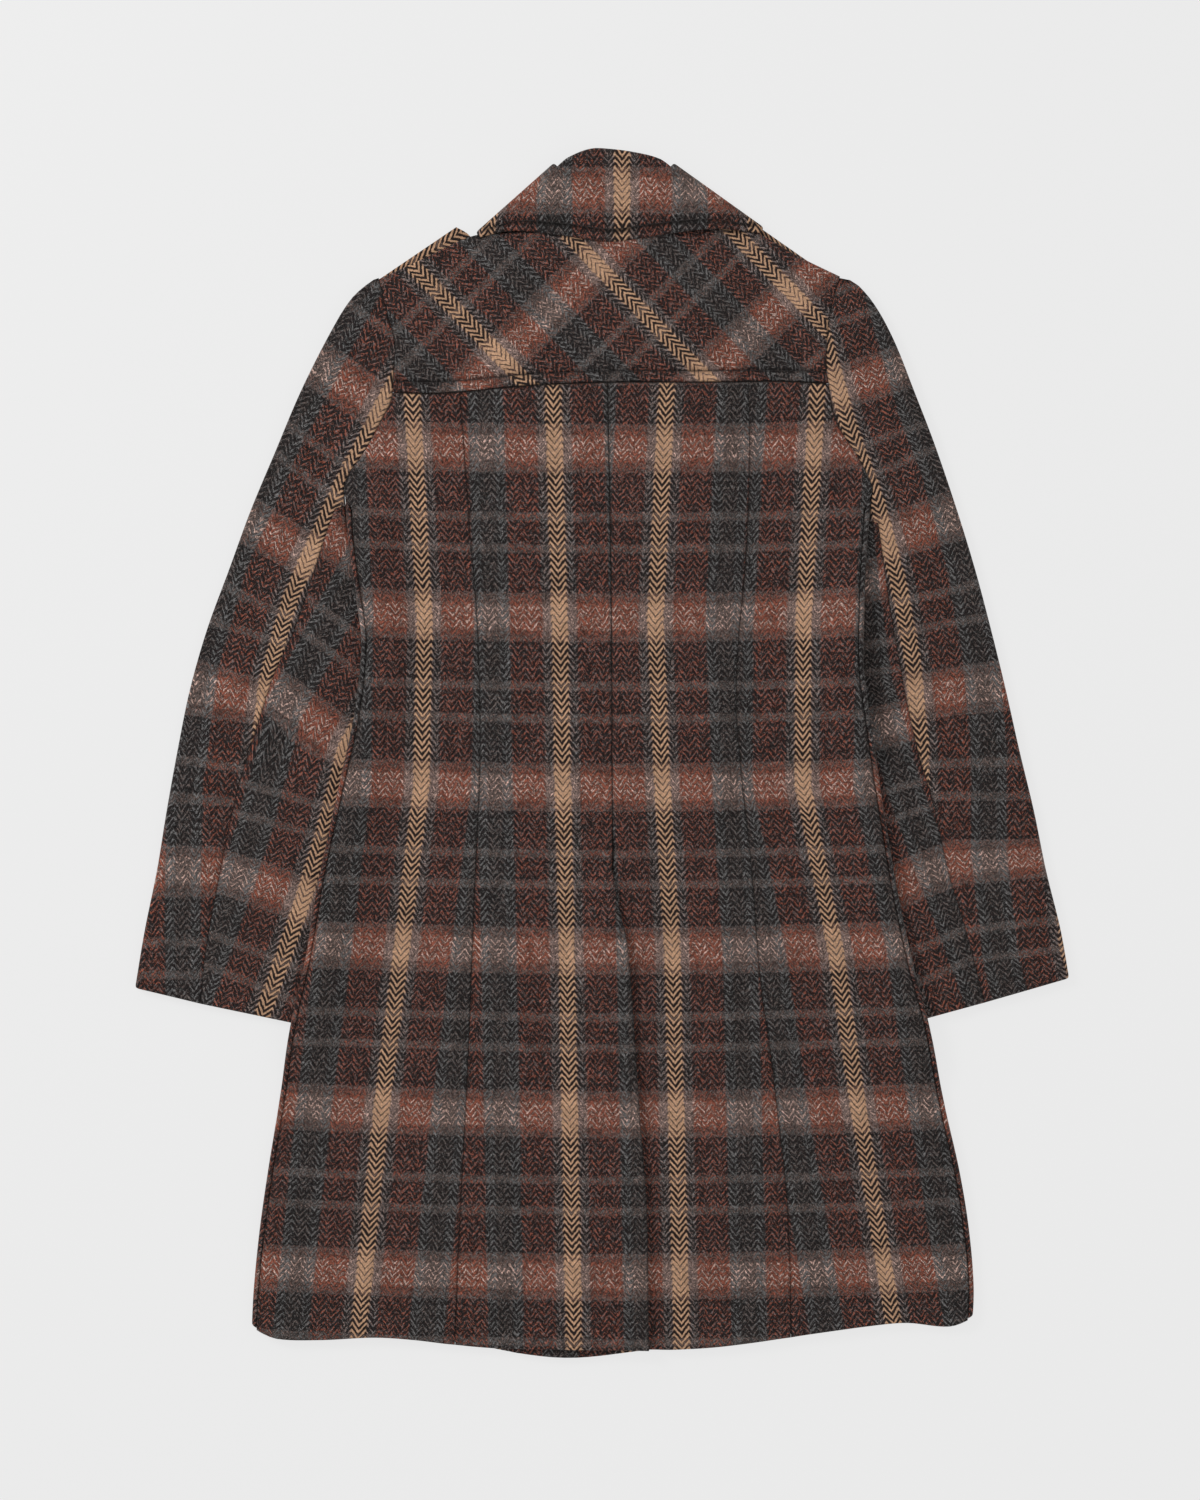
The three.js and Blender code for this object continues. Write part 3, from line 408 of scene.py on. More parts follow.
def places(length, cell, start=EDGE_OFFSETS, end=EDGE_OFFSETS):
    """Shares and offsets of points along a line of about this length. They are close together at an end
    that has offsets, and even between."""
    start, end = (0, *start), (0, *end)
    even = np.linspace(0, 1, max(3, round((length - start[-1] - end[-1]) / cell) + 1))
    shares = [*[0] * (len(start) - 1), *even, *[1] * (len(end) - 1)]
    offsets = [*start[:-1], *(start[-1] * (1 - even) - end[-1] * even), *(-d for d in end[-2::-1])]
    return np.array(shares, float), np.array(offsets, float)


def panel(top, bottom, left, right, rows, columns, height):
    """Mid-surface points between two side curves, from a top curve to a bottom curve."""
    share, offset = rows
    across, inset = columns

    def level(x):
        return mix(top(x), bottom(x), share) - offset

    def meet(side):
        x = side(np.zeros_like(share))
        for _ in range(PASSES):
            x = side(level(x))
        return x

    start, end = meet(left), meet(right)
    x = start[:, None] + (end - start)[:, None] * across + inset
    y = mix(top(x), bottom(x), share[:, None]) - offset[:, None]
    return np.stack([x, y, height(x, y)], -1)


def strip(edge, inside, length, steps, turn, up):
    """Rows of cloth past a row of edge points, bent up (1) or down (-1) through an angle."""
    out = edge - inside
    out[:, 2] = 0
    out = out / norm(out, axis=1, keepdims=True)
    angle = np.maximum(turn, TINY)
    radius = length / angle
    rows = []
    for k in range(1, steps + 1):
        bent = angle * k / steps
        row = edge + out * (radius * np.sin(bent))[:, None]
        row[:, 2] += up * radius * (1 - np.cos(bent))
        rows.append(row)
    return rows


def with_top_strip(grid, up):
    """The shoulder's half of a round edge. Round the neck it lies on flat."""
    x = grid[0, :, 0]
    shoulder = (x < NECK["left"][0]) | (x > NECK["right"][0])
    turn = np.where(shoulder, SHOULDER_TURN, 0.0)
    rows = strip(grid[0], grid[2], SHOULDER_RADIUS * SHOULDER_TURN, SHOULDER_STEPS, turn, up)
    return np.concatenate([np.stack(rows[::-1]), grid])


def side_turn(y):
    """How far the front's side strip turns: flat along the armhole, then right round under it."""
    return math.pi * ease(*SIDE_ROLL, y)


def roll_extents(y):
    """How far the side strip reaches out, and how far out its end is."""
    length = math.pi * SIDE_RADIUS
    turn = np.maximum(side_turn(y), TINY)
    return length / turn * np.sin(np.minimum(turn, math.pi / 2)), length / turn * np.sin(turn)


def front_side(side):
    def line(y):
        reach, _ = roll_extents(y)
        return side.outline(y) - side.hand * (reach + mix(GAP / 2, HALF, side_turn(y) / math.pi))
    return line


def back_side(side):
    def line(y):
        reach, end = roll_extents(y)
        more = SIDE_SEAM_INSET * ease(*SIDE_SEAM, y)
        inset = mix(GAP / 2, HALF + GAP + more, side_turn(y) / math.pi)
        return side.outline(y) - side.hand * (reach - end + inset)
    return line


def shift(curve, by):
    return lambda where: curve(where) + by


yoke_inside = shift(yoke_top, -(SHOULDER_RADIUS + HALF))
yoke_bottom = shift(yoke_seam, GAP / 2)
back_top = shift(yoke_seam, -GAP / 2)


# Making the meshes

def lengths(grid, axis):
    """Length along the grid's lines from their start."""
    steps = norm(np.diff(grid, axis=axis), axis=2)
    return np.pad(np.cumsum(steps, axis=axis), ((1 - axis, 0), (axis, 0)))


def area_of(grid):
    across = grid[1:, 1:] - grid[:-1, :-1]
    other = grid[1:, :-1] - grid[:-1, 1:]
    return norm(np.cross(across, other), axis=2).sum() / 2


def linked(name, data):
    made = bpy.data.objects.new(name, data)
    bpy.context.scene.collection.objects.link(made)
    return made


def make_mesh(name, points, faces, material):
    mesh = bpy.data.meshes.new(name)
    placed = (np.asarray(points, float) + (*PLACE, 0)) * MM
    mesh.from_pydata(placed.tolist(), [], faces)
    mesh.polygons.foreach_set("use_smooth", [True] * len(mesh.polygons))
    mesh.materials.append(material)
    mesh.update()
    piece = linked(name, mesh)
    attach(piece, "root")
    return piece


def edge_profile(distance, thin):
    k = 1 - np.clip(distance / EDGE_ROUND, 0, 1)
    return thin + (1 - thin) * np.sqrt(1 - k * k)


def cloth(node, grid, grain, outside, seams="", pressed="", stitched=None, name=None):
    """A closed wall of cloth round a grid of mid-surface points, thinner from its outer side at its edges.

    outside is 1 if the outer side is that of across x down, or else -1. seams and pressed name the edges (l,
    r, t, b) that are sewn, and sewn and pressed flat. stitched is how far topstitching runs from edge b."""
    rows, columns = grid.shape[:2]
    down = np.gradient(grid, axis=0, edge_order=2)
    across = np.gradient(grid, axis=1, edge_order=2)
    normal = np.cross(across, down)
    normal /= norm(normal, axis=2, keepdims=True)
    along, below = lengths(grid, 1), lengths(grid, 0)
    distances = {"l": along, "r": along[:, -1:] - along, "t": below, "b": below[-1:] - below}
    thick, shade = np.ones((rows, columns)), np.ones((rows, columns))
    # Painted shade: the colour is darkened along sewn and pressed edges and along the topstitching, standing
    # in for the shade in their grooves
    for edge in seams + pressed:
        dark = SEAM_PAINTED_SHADE if edge in "tb" else SIDE_PAINTED_SHADE
        shade = np.minimum(shade, 1 - dark * bell(distances[edge], PAINTED_SHADE_WIDTH))
    if stitched:
        past = distances["b"] - stitched - PAINTED_SHADE_PAST
        shade = np.minimum(shade, 1 - SEAM_PAINTED_SHADE * bell(past, STITCH_PAINTED_SHADE_WIDTH))
    for edge, distance in distances.items():
        thin = PRESSED_THIN if edge in pressed else SEAM_THIN if edge in seams else EDGE_THIN
        thick = np.minimum(thick, edge_profile(distance, thin))
    outer = (HALF * (2 * thick - 1))[..., None]
    near, far = (outer, HALF) if outside > 0 else (HALF, outer)
    points = np.concatenate([grid + normal * near, grid - normal * far]).reshape(-1, 3)
    points[:, 2] = np.maximum(points[:, 2], 0)
    count = rows * columns
    corner = (np.arange(rows - 1)[:, None] * columns + np.arange(columns - 1)).ravel()
    quads = np.stack([corner, corner + 1, corner + columns + 1, corner + columns], 1)
    ring = np.array([*range(columns - 1), *range(columns - 1, count - 1, columns),
                     *range(count - 1, count - columns, -1), *range(count - columns, 0, -columns)])
    after = np.roll(ring, -1)
    rim = np.stack([after, ring, ring + count, after + count], 1)
    faces = np.concatenate([quads, quads[:, ::-1] + count, rim]).tolist()
    piece = make_mesh(name or f"cloth_{node}", points, faces, WOOL)
    seed = np.full((rows, columns, 1), float(len(bpy.data.meshes)))
    grain = np.concatenate([grain, seed], 2)
    for key, kind, part, at in ("grain", "FLOAT_VECTOR", "vector", grain), ("shade", "FLOAT", "value", shade):
        at = np.concatenate([at, at]).astype(np.float32)
        piece.data.attributes.new(key, kind, "POINT").data.foreach_set(part, at.ravel())
    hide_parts(node)
    width, length = along[:, -1].max() * MM, below[-1].max() * MM
    area = min(area_of(grid) * MM * MM, width * length)


# Materials

def linear(*colour):
    """A colour from its values on screen, 0 to 255, as the shader wants it."""
    shares = [value / 255 for value in colour]
    return (*(k / 12.92 if k <= 0.04045 else ((k + 0.055) / 1.055) ** 2.4 for k in shares), 1)


class Graph:
    """A few short calls that add and join shader nodes."""

    def __init__(self, name):
        self.material = bpy.data.materials.new(name)
        self.material.use_nodes = True
        self.tree = self.material.node_tree
        self.shader = self.tree.nodes["Principled BSDF"]

    def feed(self, node, values):
        """Joins or sets a node's inputs by their names or numbers."""
        for key, value in values.items():
            if hasattr(value, "is_output"):
                self.tree.links.new(value, node.inputs[key])
            else:
                node.inputs[key].default_value = value
        return node

    def look(self, values):
        self.feed(self.shader, values)
        return self.material

    def node(self, kind, values=(), **settings):
        made = self.tree.nodes.new("ShaderNode" + kind)
        for key, value in settings.items():
            setattr(made, key, value)
        return self.feed(made, dict(values))

    def math(self, operation, *values):
        return self.node("Math", enumerate(values), operation=operation).outputs[0]

    def add(self, *values):
        return self.math("ADD", *values)

    def times(self, *values):
        return self.math("MULTIPLY", *values)

    def vector(self, operation, *values):
        return self.node("VectorMath", enumerate(values), operation=operation).outputs[0]

    def scaled(self, vector, share):
        return self.node("VectorMath", {0: vector, "Scale": share}, operation="SCALE").outputs[0]

    def noise(self, vector, scale, detail=2, roughness=0.55):
        values = {"Vector": vector, "Scale": scale, "Detail": detail, "Roughness": roughness}
        return self.node("TexNoise", values)

    def spread(self, value, low, high, to_low=0, to_high=1):
        keys = ("Value", "From Min", "From Max", "To Min", "To Max")
        values = zip(keys, (value, low, high, to_low, to_high))
        return self.node("MapRange", values, interpolation_type="SMOOTHSTEP").outputs["Result"]

    def between(self, share, low, high):
        """A number that goes from low to high with the share."""
        return self.add(self.times(share, high - low), low)

    def mix(self, share, first, second):
        return self.node("Mix", {"Factor": share, 6: first, 7: second}, data_type="RGBA").outputs[2]

    def ramp(self, value, bands):
        """Bands of colour, each with the position of its one stop or its two."""
        made = self.node("ValToRGB", {"Fac": value})
        elements = made.color_ramp.elements
        stops = [(position, linear(*colour)) for colour, *positions in bands for position in positions]
        while len(elements) < len(stops):
            elements.new(0.5)
        for element, (position, colour) in zip(elements, stops):
            element.position = position
            element.color = colour
        return made.outputs["Color"]


# Yarns: the plaid's colours from the middle of a tan stripe or pale band, at 0, to half a repeat away, at 1
TAN, GREY, RUST = (184, 146, 117), (126, 107, 101), (134, 76, 60)
SLATE_LINE, SLATE = (102, 99, 98), (95, 84, 80)
PALE, MIDDLE, BASE, FAINT = (158, 132, 122), (98, 76, 69), (34, 28, 28), (88, 74, 69)
WARP = ((TAN, 0, 0.112), (GREY, 0.13, 0.24), (RUST, 0.27, 0.72), (SLATE_LINE, 0.75, 0.87), (SLATE, 0.9, 1))
WEFT = ((PALE, 0, 0.13), (MIDDLE, 0.17, 0.28), (BASE, 0.295, 0.75), (FAINT, 0.77, 0.85), (BASE, 0.87, 1))
# Where a tan stripe and a pale band fade out
TAN_END, BAND_END = (0.12, 0.16), (0.14, 0.3)
# Noise that moves the yarns: cells for each millimetre, detail, and how far
FELT, FUZZ, SLACK = (0.3, 3, 4.2), (0.9, 2, 3.0), (0.2, 2, 1.5)
# Flecks: cells along and across the twill, detail and roughness, and a step for each column and each piece
FLECK_ALONG, FLECK_ACROSS, FLECK_NOISE, COLUMN_STEP, PIECE_STEP = 0.28, 0.7, (2, 0.65), 3.7, 5.3
# The weave's signal, above 0 where the warp shows: the parts of twill lines and flecks, and what is added,
# each outside the tan stripes and in them, then what pale bands add, and tan stripes in pale bands
TWILL, FLECK, LEAN, BAND_LEAN, SOLID_LEAN = (0.6, 1.0), (3.0, 1.1), (-0.06, 0.02), (0, 0.1), 0.2
# What the signal is spread from and to: the share of warp, the light between yarns and on the weft
FACE, BETWEEN_YARNS, ON_WEFT = (-0.16, 0.16), (0, 0.24, 0.3, 1.08), (-0.5, -0.1, 1.6, 0.45)
# Patches: cells for each millimetre, detail and roughness, then what they are spread from and to
HEATHER = (0.66, 2, 0.6), (0.42, 0.6, 0.0, 0.8)
MOTTLE = (0.62, 3, 0.7), (0.3, 0.7, 0.48, 1.5)
FIBRE = (1.1, 3, 0.75), (0.28, 0.72, 0.6, 1.4)
BROAD = (0.05, 2), (0.3, 0.7, 0.9, 1.08)
TAN_CALM = 0.5
NAP_BUMP = {"Strength": 0.5, "Distance": 0.35 * MM}
WOOL_LOOK = {"Roughness": 0.95, "Specular IOR Level": 0.15, "Sheen Weight": 0.1, "Sheen Roughness": 0.6,
             "Sheen Tint": linear(190, 178, 170)}
# Thread and horn, with their noise in cells for each metre
THREAD_TWIST, THREAD_DARK, THREAD_LIGHT = (900, 2), (14, 11, 11), (34, 26, 25)
STREAKS, HORN_BANDS = (120, 4, 0.6), (((40, 26, 20), 0.3), ((74, 48, 34), 0.55), ((112, 78, 54), 0.75))


def plaid_wool():
    """Brushed wool in a herringbone weave, with a plaid in its warp and weft yarns.

    In the tan stripes the twill lines are clear. Elsewhere they are broken into short flecks."""
    g = Graph("plaid_wool")
    grain = g.node("Attribute", attribute_name="grain").outputs["Vector"]

    def moved(place, cells, detail, reach):
        push = g.vector("SUBTRACT", g.noise(grain, cells, detail).outputs["Color"], (0.5, 0.5, 0.5))
        return g.vector("ADD", place, g.scaled(push, reach))

    def half_repeat(place, repeat):
        return g.math("DIVIDE", g.math("PINGPONG", place, repeat / 2), repeat / 2)

    def patches(noise, spread):
        return g.spread(g.noise(grain, *noise).outputs["Fac"], *spread)

    u, v, _ = g.node("SeparateXYZ", {0: moved(moved(grain, *FELT), *FUZZ)}).outputs
    warp_place, weft_place = half_repeat(u, WARP_REPEAT), half_repeat(v, WEFT_REPEAT)
    warp, weft = g.ramp(warp_place, WARP), g.ramp(weft_place, WEFT)

    u, v, seed = g.node("SeparateXYZ", {0: moved(grain, *SLACK)}).outputs
    u = g.add(u, COLUMN)
    zigzag = half_repeat(u, 2 * COLUMN)
    column = g.math("FLOOR", g.math("DIVIDE", u, COLUMN))
    diagonal = g.add(g.math("DIVIDE", v, PITCH), g.times(zigzag, TWILL_LEAN))
    wave = g.math("SUBTRACT", g.times(g.math("PINGPONG", diagonal, 0.5), 2), 0.5)
    place = g.node("CombineXYZ", {
        0: g.times(zigzag, COLUMN * FLECK_ALONG),
        1: g.times(diagonal, PITCH * FLECK_ACROSS),
        2: g.add(g.times(column, COLUMN_STEP), g.times(seed, PIECE_STEP))})
    fleck = g.noise(place.outputs[0], 1, *FLECK_NOISE).outputs["Fac"]
    fleck = g.math("SUBTRACT", fleck, 0.5)

    tan = g.spread(warp_place, *TAN_END, 1, 0)
    band = g.spread(weft_place, *BAND_END, 1, 0)
    signal = g.times(wave, g.between(tan, *TWILL))
    for more in (g.times(fleck, g.between(tan, *FLECK)), g.between(tan, *LEAN), g.between(band, *BAND_LEAN),
                 g.times(g.times(tan, band), SOLID_LEAN)):
        signal = g.add(signal, more)
    face = g.spread(signal, *FACE)
    gap = g.spread(g.math("ABSOLUTE", signal), *BETWEEN_YARNS)
    colour = g.mix(face, g.scaled(weft, g.spread(signal, *ON_WEFT)), warp)
    heather = g.times(patches(*HEATHER), g.math("SUBTRACT", 1, g.math("MAXIMUM", tan, band)))
    colour = g.mix(heather, colour, g.node("RGBToBW", {0: colour}).outputs[0])

    mottle, fibre, broad = patches(*MOTTLE), patches(*FIBRE), patches(*BROAD)
    calm = {0: g.times(tan, TAN_CALM), 2: g.times(mottle, fibre), 3: 1.0}
    calm = g.node("Mix", calm, data_type="FLOAT").outputs[0]
    # Painted shade: the colour is darkened by the cloth's shade attribute along seams and topstitching
    shade = g.node("Attribute", attribute_name="shade").outputs["Fac"]
    for part in (calm, gap, broad, shade):
        colour = g.scaled(colour, part)

    height = g.add(g.times(face, 0.5), g.times(fibre, 0.5))
    bump = g.node("Bump", {**NAP_BUMP, "Height": height}).outputs["Normal"]
    return g.look({"Base Color": colour, "Normal": bump, **WOOL_LOOK})


def sewing_thread():
    g = Graph("sewing_thread")
    twist = g.noise(g.node("NewGeometry").outputs["Position"], *THREAD_TWIST).outputs["Fac"]
    return g.look({"Base Color": g.mix(twist, linear(*THREAD_DARK), linear(*THREAD_LIGHT)), "Roughness": 0.6})


def horn():
    g = Graph("horn")
    streaks = g.noise(g.node("NewGeometry").outputs["Position"], *STREAKS).outputs["Fac"]
    return g.look({"Base Color": g.ramp(streaks, HORN_BANDS), "Roughness": 0.28})


WOOL, THREAD, HORN = plaid_wool(), sewing_thread(), horn()


# Grain: millimetres across and along the plaid, from the middle of a tan stripe and of a pale band

def stripe(*rows):
    """The middle of a tan stripe, from pixels (x, y) of the photograph."""
    return straight([(photo_y(py), photo_x(px)) for px, py in rows])


STRIPE_ROWS = (420, 620, 785, 950, 1110, 1275)
STRIPES = {
    "side_left": stripe(*zip((414, 425, 422, 402, 382, 365), STRIPE_ROWS)),
    "centre_left": stripe(*zip((554, 560, 563, 567, 570, 573), STRIPE_ROWS)),
    "centre_right": stripe(*zip((665, 655, 662, 672, 676, 680), STRIPE_ROWS)),
    "side_right": stripe(*zip((815, 803, 802, 835, 858, 885), STRIPE_ROWS)),
    "sleeve_left": stripe((395, 385), (342, 487), (291, 599), (268, 679), (254, 790), (252, 870),
        (252, 1010)),
    "under_left": stripe((425, 600), (345, 752), (323, 838), (305, 896), (282, 963), (265, 1010)),
    "sleeve_right": stripe((829, 360), (849, 430), (876, 503), (897, 580), (912, 663), (920, 750),
        (920, 857), (932, 963), (938, 991)),
    "under_right": stripe((795, 600), (806, 690), (838, 808), (862, 876), (898, 972), (912, 1010)),
}


def counted(repeat, first, places):
    """How far along the cloth a place is, from places a repeat apart and the first one's number."""
    return straight([(place, repeat * (first + step)) for step, place in enumerate(places)])


def bands(*rows):
    """How far along the cloth a height is, from the photograph's rows of the pale bands."""
    return counted(-WEFT_REPEAT, 0, [photo_y(py) for py in rows])


back_weft = bands(450, 618, 788, 950, 1113, 1275)
SLEEVE_WEFT = {
    "sleeve_left": bands(410, 557, 700, 872),
    "under_left": bands(603, 745, 899),
    "sleeve_right": bands(389, 538, 695, 865),
    "under_right": bands(590, 744, 897),
}


def back_grain(name, grid):
    x, y = grid[..., 0], grid[..., 1]
    bowed = y - SMILE * ((x - CENTRE_X) / SMILE_REACH) ** 2
    return np.stack([x - STRIPES[name](y), back_weft(bowed)], -1)


yoke_warp = counted(WARP_REPEAT, -2, (58, 165, 274, 372.6, 478))
yoke_weft = counted(WEFT_REPEAT, -1, (-417, -289, -161, -34))


def yoke_grain(grid):
    x, y = grid[..., 0], grid[..., 1]
    along = x * math.cos(YOKE_TURN) - y * math.sin(YOKE_TURN)
    across = x * math.sin(YOKE_TURN) + y * math.cos(YOKE_TURN)
    return np.stack([yoke_warp(across), yoke_weft(along)], -1)


def sleeve_grain(name, side, grid, beyond):
    """The grain runs along the sleeve. Points on its lower layer are laid out past the folded edge."""
    middle = STRIPES[name]
    reach = 20
    x, y = grid[..., 0], grid[..., 1]
    lean = (middle(y + reach) - middle(y - reach)) / (2 * reach)
    foot = y + lean * (x - middle(y))
    across = (x - middle(foot)) * np.sqrt(1 + lean * lean)
    return np.stack([across + side.hand * beyond, SLEEVE_WEFT[name](foot)], -1)


# Pieces

def back_yoke():
    grid = panel(yoke_inside, yoke_bottom, back_side(LEFT), back_side(RIGHT),
                 places(YOKE_LENGTH, CELL, (), STITCH_OFFSETS), places(YOKE_WIDTH, CELL), yoke_surface)
    grid = with_top_strip(grid, -1)
    cloth("back_yoke", grid, yoke_grain(grid), -1, seams="blr",
          stitched=YOKE_STITCH, name="cloth_yoke")


def side_back(side):
    inner = shift(PRINCESS[side.name], side.hand * GAP / 2)
    grid = panel(back_top, hem, *side.order(back_side(side), inner), places(BACK_LENGTH, CELL),
                 places(BACK_WIDTH, CELL), back_surface)
    cloth(f"side_back_{side.name}", grid, back_grain(f"side_{side.name}", grid), -1,
          seams="tlr", pressed=side.inner_edge)


def centre_back(side, low_edge, height):
    """Half of the centre back. Below the vent's top it ends at an edge of its own."""
    def edge(y):
        return np.where(y > VENT_TOP, centre_seam(y), low_edge(y)) + side.hand * GAP / 2
    princess = shift(PRINCESS[side.name], -side.hand * GAP / 2)
    grid = panel(back_top, hem, *side.order(princess, edge), places(BACK_LENGTH, CELL),
                 places(BACK_WIDTH, CENTRE_CELL), height)
    cloth(f"centre_back_{side.name}", grid, back_grain(f"centre_{side.name}", grid), -1,
          seams="t" + side.inner_edge, pressed=side.outer_edge)


def front_top(side):
    corner_x, corner_y = side.neck
    front_x, front_y = NECK["front"]
    slope = (corner_y - front_y) / (corner_x - front_x)

    def line(x):
        past = (x - front_x) * side.hand
        neck = np.where(past < 0, front_y + past * NECK_EDGE_FALL, front_y + (x - front_x) * slope)
        return np.where(past < (corner_x - front_x) * side.hand, neck, yoke_inside(x))
    return line


def front_hem(x):
    return hem(x) + HEM_UP - (HEM_DROP + HEM_UP) * (1 - ease(0, HEM_HALF, abs(x - HEM_AT)))


def front(side):
    left = side.hand < 0
    edge = CENTRE_X - side.hand * OVERLAP
    columns = places(FRONT_WIDTH, HIDDEN_CELL, *side.order((), EDGE_OFFSETS))
    level = left_front_level if left else right_front_level
    grid = panel(front_top(side), front_hem, *side.order(front_side(side), lambda y: np.full_like(y, edge)),
                 places(FRONT_LENGTH, FRONT_CELL, ()), columns, level)
    grid = with_top_strip(grid, 1)
    last, inside = (0, 1) if left else (-1, -2)
    rolled = strip(grid[:, last], grid[:, inside], math.pi * SIDE_RADIUS, ROLL_STEPS,
                   side_turn(grid[:, last, 1]), 1)
    rolled = np.stack(rolled[::-1] if left else rolled, 1)
    grid = np.concatenate(side.order(rolled, grid), 1)
    folded = lengths(grid, 1)
    flat_x = folded - folded[:, -1:] + edge if left else folded + edge
    grain = np.stack([flat_x - STRIPES[f"side_{side.name}"](grid[..., 1]), back_weft(grid[..., 1])], -1)
    cloth(f"front_{side.name}", grid, grain, 1)


def sleeve_station(side, seam):
    """The ends of a station across a sleeve, at a height along its back seam, and its two levels."""
    above = seam > UNDERARM - GAP
    down = (UNDERARM - seam) / (UNDERARM - side.cuff["seam"])
    outer = seam + CAP["outer"] - CAP["seam"] if above else mix(CAP["underarm"], side.cuff["outer"], down)
    inner = seam if above else mix(UNDERARM, side.cuff["inner"], down)
    share = mix(*UNDER_SEAM_SHARES, ease(*UNDER_SEAM, inner)) if seam < side.under_top else 0
    inner_point = np.array([side.seam(seam) if above else float(side.inner(inner)), inner])
    outer_point = np.array([float(SLEEVE_OUTER[side.name](outer)), outer])
    low = HALF + LAYER * float(ease(*CHEST, seam))
    high = mix(BACK_LEVEL, SLEEVE_LEVEL, float(ease(UNDERARM + CAP_EASE, UNDERARM, seam)))
    under = mix(inner_point, outer_point, share)
    return np.array([side.seam(seam), seam]), outer_point, inner_point, under, low, high


def round_edge(start, edge, back, low, high, upper, lower):
    """A row round a flattened tube: along the upper layer to an edge, round it, and back along the lower.
    It also gives how far each point lies past the edge along the cloth."""
    radius = (high - low) / 2
    out = (edge - start) / norm(edge - start)
    turn_at = edge - out * (radius + HALF)
    first, last = start - out * SLEEVE_OVER, back + out * GAP / 2
    row, beyond = [], []
    for k, d in zip(*upper):
        row.append([*(mix(first, turn_at, k) + out * d), high])
        beyond.append(0)
    for k in range(1, FOLD_STEPS):
        angle = math.pi * k / FOLD_STEPS
        row.append([*(turn_at + out * radius * math.sin(angle)), low + radius * (1 + math.cos(angle))])
        beyond.append(radius * (angle - math.sin(angle)))
    for k, d in zip(*lower):
        point = mix(turn_at, last, k) + out * -d
        row.append([*point, low])
        beyond.append(math.pi * radius + 2 * norm(turn_at - point))
    return row, beyond


def sleeve_relief(grid):
    """Soft folds on a sleeve's upper layer, fading away where it turns at its edges."""
    x, y, z = (grid[..., k] for k in range(3))
    total = creased(SLEEVE_SHARE * relief(x, y), x, y, SLEEVE_CREASES)
    beside = np.where(y < UNDERARM, np.maximum(x - RIGHT.outline(y), 0), FAR_OFF)
    total = total - HOLLOW_DEPTH * swell(y) * bell(beside, HOLLOW_WIDTH)
    grid[..., 2] += total * ease(SLEEVE_LEVEL - SLEEVE_FADE, SLEEVE_LEVEL, z)
    return grid


def sleeve(side, kind):
    top = kind == "top"
    heights = np.linspace(CAP["seam"], side.under_top + 1, CAP_ROWS) if top else [UNDER_START]
    share, offset = places(side.under_top - side.cuff["seam"], CELL, (), EDGE_OFFSETS)
    below = mix(side.under_top - 1, side.cuff["seam"], share) - offset
    lower = places(*((SLEEVE_LOWER, HIDDEN_CELL) if top else (UNDER_LOWER, CELL)), (), EDGE_OFFSETS)
    rows, beyond = [], []
    for y in [*heights, *below]:
        above = 0 if top else max(0, y - side.under_top + 1)
        seam, outer, inner, *rest = sleeve_station(side, float(y) - above)
        edge = outer if top else inner
        narrow = min(1, max(norm(edge - seam) - FOLD_ROOM, 1) / WIDTH_FOR_ALL)
        near = tuple(d * narrow for d in EDGE_OFFSETS)
        fine = places(near[-1] + SLEEVE_COLUMNS, 1, near, ())
        row, past = round_edge(seam, edge, *rest, fine, lower)
        rows.append(np.array(row) + (0, above, -UNDER_BELOW * (above > 0)))
        beyond.append(past)
    grid, beyond, turned = np.array(rows), np.array(beyond), 1 if top else -1
    grain = sleeve_grain(f"{'sleeve' if top else 'under'}_{side.name}", side, grid, beyond * turned)
    cloth(f"{kind}_sleeve_{side.name}", sleeve_relief(grid), grain, -side.hand * turned, seams="tlr")


def wrapped_row(lines, v, low, high, height, bow):
    """A row of a collar piece, from its left front end over the back to its right front end."""
    radius = (high - low) / 2

    def ends(half):
        side = {key: np.array(value, float) for key, value in lines[half.name].items()}
        way = side["edge"] - side["roll"]
        out = half.hand * np.array([-way[1], way[0]]) / norm(way)
        fold = mix(side["roll"], side["edge"], v)
        return fold - out * (radius + HALF), mix(side["end_roll"], side["end_edge"], v), out

    def turned(at, out, angles):
        return [[*(at + out * radius * math.sin(a)), low + radius * (1 - math.cos(a))] for a in angles]

    start, start_end, start_out = ends(LEFT)
    stop, stop_end, stop_out = ends(RIGHT)
    angles = [math.pi * k / FOLD_STEPS for k in range(1, FOLD_STEPS)]
    leaf = np.linspace(0, 1, round(LEAF_LENGTH / HIDDEN_CELL))
    back = []
    for u in np.linspace(0, 1, NECK_STEPS):
        x, y = mix(start, stop, u)
        back.append([x, y + bow(u, x, y), height(x, u)])
    return [*[[*mix(start, start_end, k), low] for k in leaf[::-1]], *turned(start, start_out, angles), *back,
            *turned(stop, stop_out, angles[::-1]), *[[*mix(stop, stop_end, k), low] for k in leaf]]


# The middle of a tan stripe and of a pale band on the collar
COLLAR_MIDDLE = (photo_x(622), photo_y(193))


def collar_grain(grid):
    """Straight down the back. Past each fold the cloth goes on in its own length."""
    along = lengths(grid, 1)
    centre = grid.shape[1] // 2
    past = along - along[:, centre:centre + 1]
    x_at = grid[:, centre:centre + 1, 0]
    return np.stack([x_at + past - COLLAR_MIDDLE[0], grid[..., 1] - COLLAR_MIDDLE[1]], -1)


